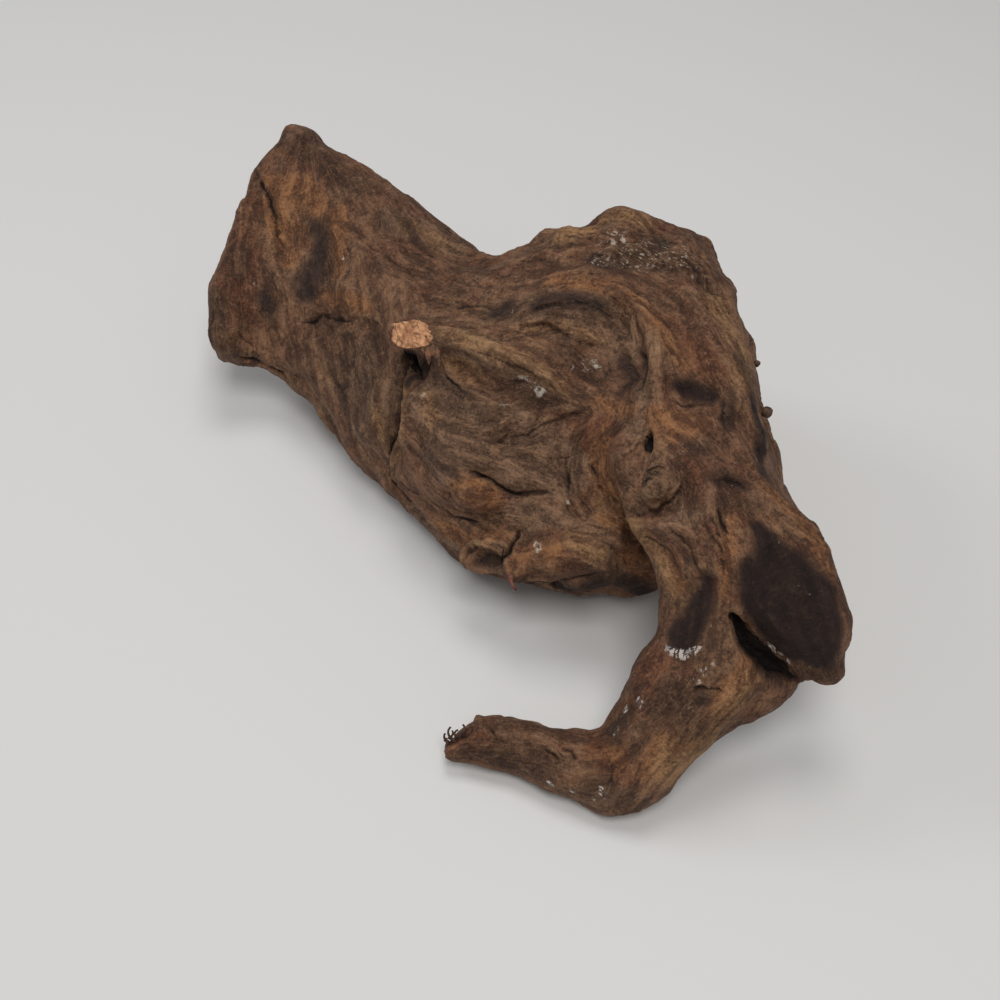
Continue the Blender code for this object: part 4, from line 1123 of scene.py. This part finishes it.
# Broken side root: it points left out of the panel's ridge, 11 mm thick, and is snapped off at a slant, so
# that the break shows pale inner wood in torn fibres, with a rim of bark round it.
SLANT = 1.15
FOOT = -18.0
BARK_RINGS = [
    # height along the stub and radius in mm
    (-15.0, 6.8), (-12.0, 6.5), (-9.0, 6.2), (-6.0, 5.9), (-3.5, 5.7), (-2.0, 5.6), (-1.0, 5.5),
    (-0.2, 5.5), (0.3, 5.3),
]
BREAK_RINGS = [
    (0.2, 4.9), (-0.1, 4.4), (0.1, 3.8), (0.2, 3.1), (0.0, 2.4), (0.2, 1.7), (0.1, 1.0), (0.1, 0.4),
]
stump = bmesh.new()
base, out = on_skin(412, 335)
axis = (Vector((-0.90, 0, 0)) + VIEW_BACK * 0.32 + VIEW_UP * 0.12).normalized()
facing = (VIEW_BACK - axis * VIEW_BACK.dot(axis)).normalized()
turn = Matrix((facing, axis.cross(facing), axis)).transposed().to_4x4()
made = bmesh.ops.create_circle(stump, segments=64, radius=7.0 * MM)["verts"]
edges = list({edge for vert in made for edge in vert.link_edges})
bmesh.ops.translate(stump, verts=made, vec=(0, 0, FOOT * MM))
for number, (rise, radius) in enumerate(BARK_RINGS + BREAK_RINGS):
    ring = bmesh.ops.extrude_edge_only(stump, edges=edges)["geom"]
    edges = [item for item in ring if isinstance(item, bmesh.types.BMEdge)]
    slant = min(1.0, max(0.0, (rise + 10) / 9)) * SLANT
    for item in ring:
        if isinstance(item, bmesh.types.BMVert):
            spoke = Vector((item.co.x, item.co.y, 0)).normalized()
            lumps = noise.noise(Vector((spoke.x * 1.4, spoke.y * 1.4, 4.0)))
            uneven = radius * (0.95 + 0.16 * lumps + 0.05 * noise.noise(spoke * 4))
            item.co = Vector((spoke.x * uneven, spoke.y * uneven, rise - slant * spoke.x * uneven)) * MM
        if isinstance(item, bmesh.types.BMFace) and number >= len(BARK_RINGS):
            item.material_index = 1
for face in bmesh.ops.holes_fill(stump, edges=edges)["faces"]:
    face.material_index = 1
for vert in stump.verts:
    spot = vert.co * 1000
    torn = noise.noise(Vector((spot.x * 1.3, spot.y * 0.5, 3.0)))
    torn += 0.5 * noise.noise(Vector((spot.x * 2.6, spot.y * 0.9, 9.0)))
    vert.co.z += torn * 1.7 * MM * min(1, max(0, (spot.z + SLANT * spot.x + 3) / 2.5))
stand = Matrix.Translation((base + VIEW_BACK * 0.6) * MM) @ turn
bmesh.ops.transform(stump, matrix=stand, verts=stump.verts)
stub = add_growth("broken_stub", stump, wood)
layer = stub.data.attributes.new("flow", "FLOAT_VECTOR", "POINT")
layer.data.foreach_set("vector", [value for vert in stub.data.vertices for value in axis])

# Freshly broken inner wood: warm and pale, with a net of brown cracks between the torn fibre ends.
inner = growth_wood("freshly broken inner wood", "#a26c49", "#d8a378", 2.0, 0.6)
nodes = inner.node_tree
inner_colour = nodes.nodes["Principled BSDF"].inputs["Base Color"]
ends = add(nodes, "TexCoord", out="Object")
ends = add(nodes, "VectorMath", (ends, (1.0, 0.55, 0.55)), operation="MULTIPLY")
net = add(nodes, "TexVoronoi", {"Vector": ends, "Scale": 1000 / 2.1}, feature="DISTANCE_TO_EDGE")
patch = add(nodes, "TexNoise", {"Vector": ends, "Scale": 1000 / 3.5, "Detail": 3})
patch = add(nodes, "MapRange", (patch, 0.40, 0.60))
net = add(nodes, "MapRange", (net, 0.01, 0.11, 0.8, 0.0))
net = add(nodes, "Math", (net, patch), operation="MULTIPLY")
bare = inner_colour.links[0].from_socket
netted = add(nodes, "Mix", {0: net, 6: bare, 7: linear("#4d2f20")}, **BLEND)
nodes.links.new(netted, inner_colour)
stub.data.materials.append(inner)

# Splinters: wood torn down from the broken side root, each a thin shard of its inner fibres that is still
# held at its upper end and has a ragged, sharp tip.
shards = bmesh.new()
for column, row, length, lean, thick in (
    (424, 345, 3.6, -0.1, 1.3),
    (428, 347, 6.2, 0.05, 1.5),
    (433, 349, 4.4, 0.3, 1.6),
    (437, 350, 6.0, 0.15, 1.2),
):
    base, out = on_skin(column, row)
    fall = (-VIEW_UP + VIEW_BACK * 0.15 + Vector((lean, 0, 0))).normalized()
    stations = [(base - out * 1.2 + VIEW_UP * 2.5, thick), (base - out * 0.3, thick)]
    for share, part in ((0.3, 0.95), (0.6, 0.7), (0.85, 0.35), (1.0, 0.08)):
        stations.append((base - out * 0.2 + fall * length * share, thick * part))
    grow(shards, stations, 7)
# Torn inner wood: dull tan fibres with dark gaps, which make each shard look split.
add_growth("stub_splinters", shards, growth_wood("torn inner wood", "#3f281b", "#8c6144", 1.6))

# Beads: two round nubs on the right edge where small side roots healed over with bark, the larger 3.8 mm
# across. Each sits half inside the skin.
beads = bmesh.new()
for column, row, radius, push in ((763, 412, 1.9, 0.7), (755, 364, 1.2, 0.3)):
    base, out = on_skin(column, row)
    made = bmesh.ops.create_icosphere(beads, subdivisions=4, radius=radius * MM)["verts"]
    bmesh.ops.translate(beads, verts=made, vec=(base + out * 0.3 * radius + Vector((push, 0, 0))) * MM)
    for vert in made:
        vert.co += vert.normal * noise.noise(vert.co * 900) * 0.25 * MM
# Healed bark: dark and dull, with small lighter scabs.
add_growth("bark_beads", beads, growth_wood("healed bark", "#33251b", "#654c39", 1.4))

# The table and the light: a pale matt card under the wood, a main soft lamp above and in front of it, a
# second one from the ceiling, and a weak cool one from a window on the left, in a pale room.
floor_mesh = bpy.data.meshes.new("table")
sheet = bmesh.new()
bmesh.ops.create_grid(sheet, x_segments=1, y_segments=1, size=2.5)
sheet.to_mesh(floor_mesh)
sheet.free()
table = bpy.data.objects.new("table", floor_mesh)
bpy.context.scene.collection.objects.link(table)
card = bpy.data.materials.new("matt pale card")
card.use_nodes = True
card_shader = card.node_tree.nodes["Principled BSDF"]
card_shader.inputs["Base Color"].default_value = linear("#e7e7e7")
card_shader.inputs["Roughness"].default_value = 0.9
floor_mesh.materials.append(card)


def lamp(name, place, size, power, colour):
    """A square soft lamp that points at the middle of the wood."""
    data = bpy.data.lights.new(name, "AREA")
    data.size = size
    data.energy = power
    data.color = colour
    obj = bpy.data.objects.new(name, data)
    obj.location = place
    obj.rotation_euler = (Vector((0, 0, 0.03)) - Vector(place)).to_track_quat("-Z", "Y").to_euler()
    bpy.context.scene.collection.objects.link(obj)


lamp("front", (0.05, -0.50, 1.05), 0.40, 4.4, (1.0, 0.98, 0.95))
lamp("ceiling", (0.05, 0.20, 1.2), 0.45, 3.2, (1.0, 0.97, 0.93))
lamp("window", (-0.80, 0.30, 0.75), 0.35, 1.7, (0.93, 0.97, 1.0))
bpy.context.scene.view_settings.view_transform = "Standard"
world = bpy.data.worlds.new("room")
world.use_nodes = True
world.node_tree.nodes["Background"].inputs["Color"].default_value = (0.94, 0.93, 0.92, 1)
world.node_tree.nodes["Background"].inputs["Strength"].default_value = 0.26
bpy.context.scene.world = world
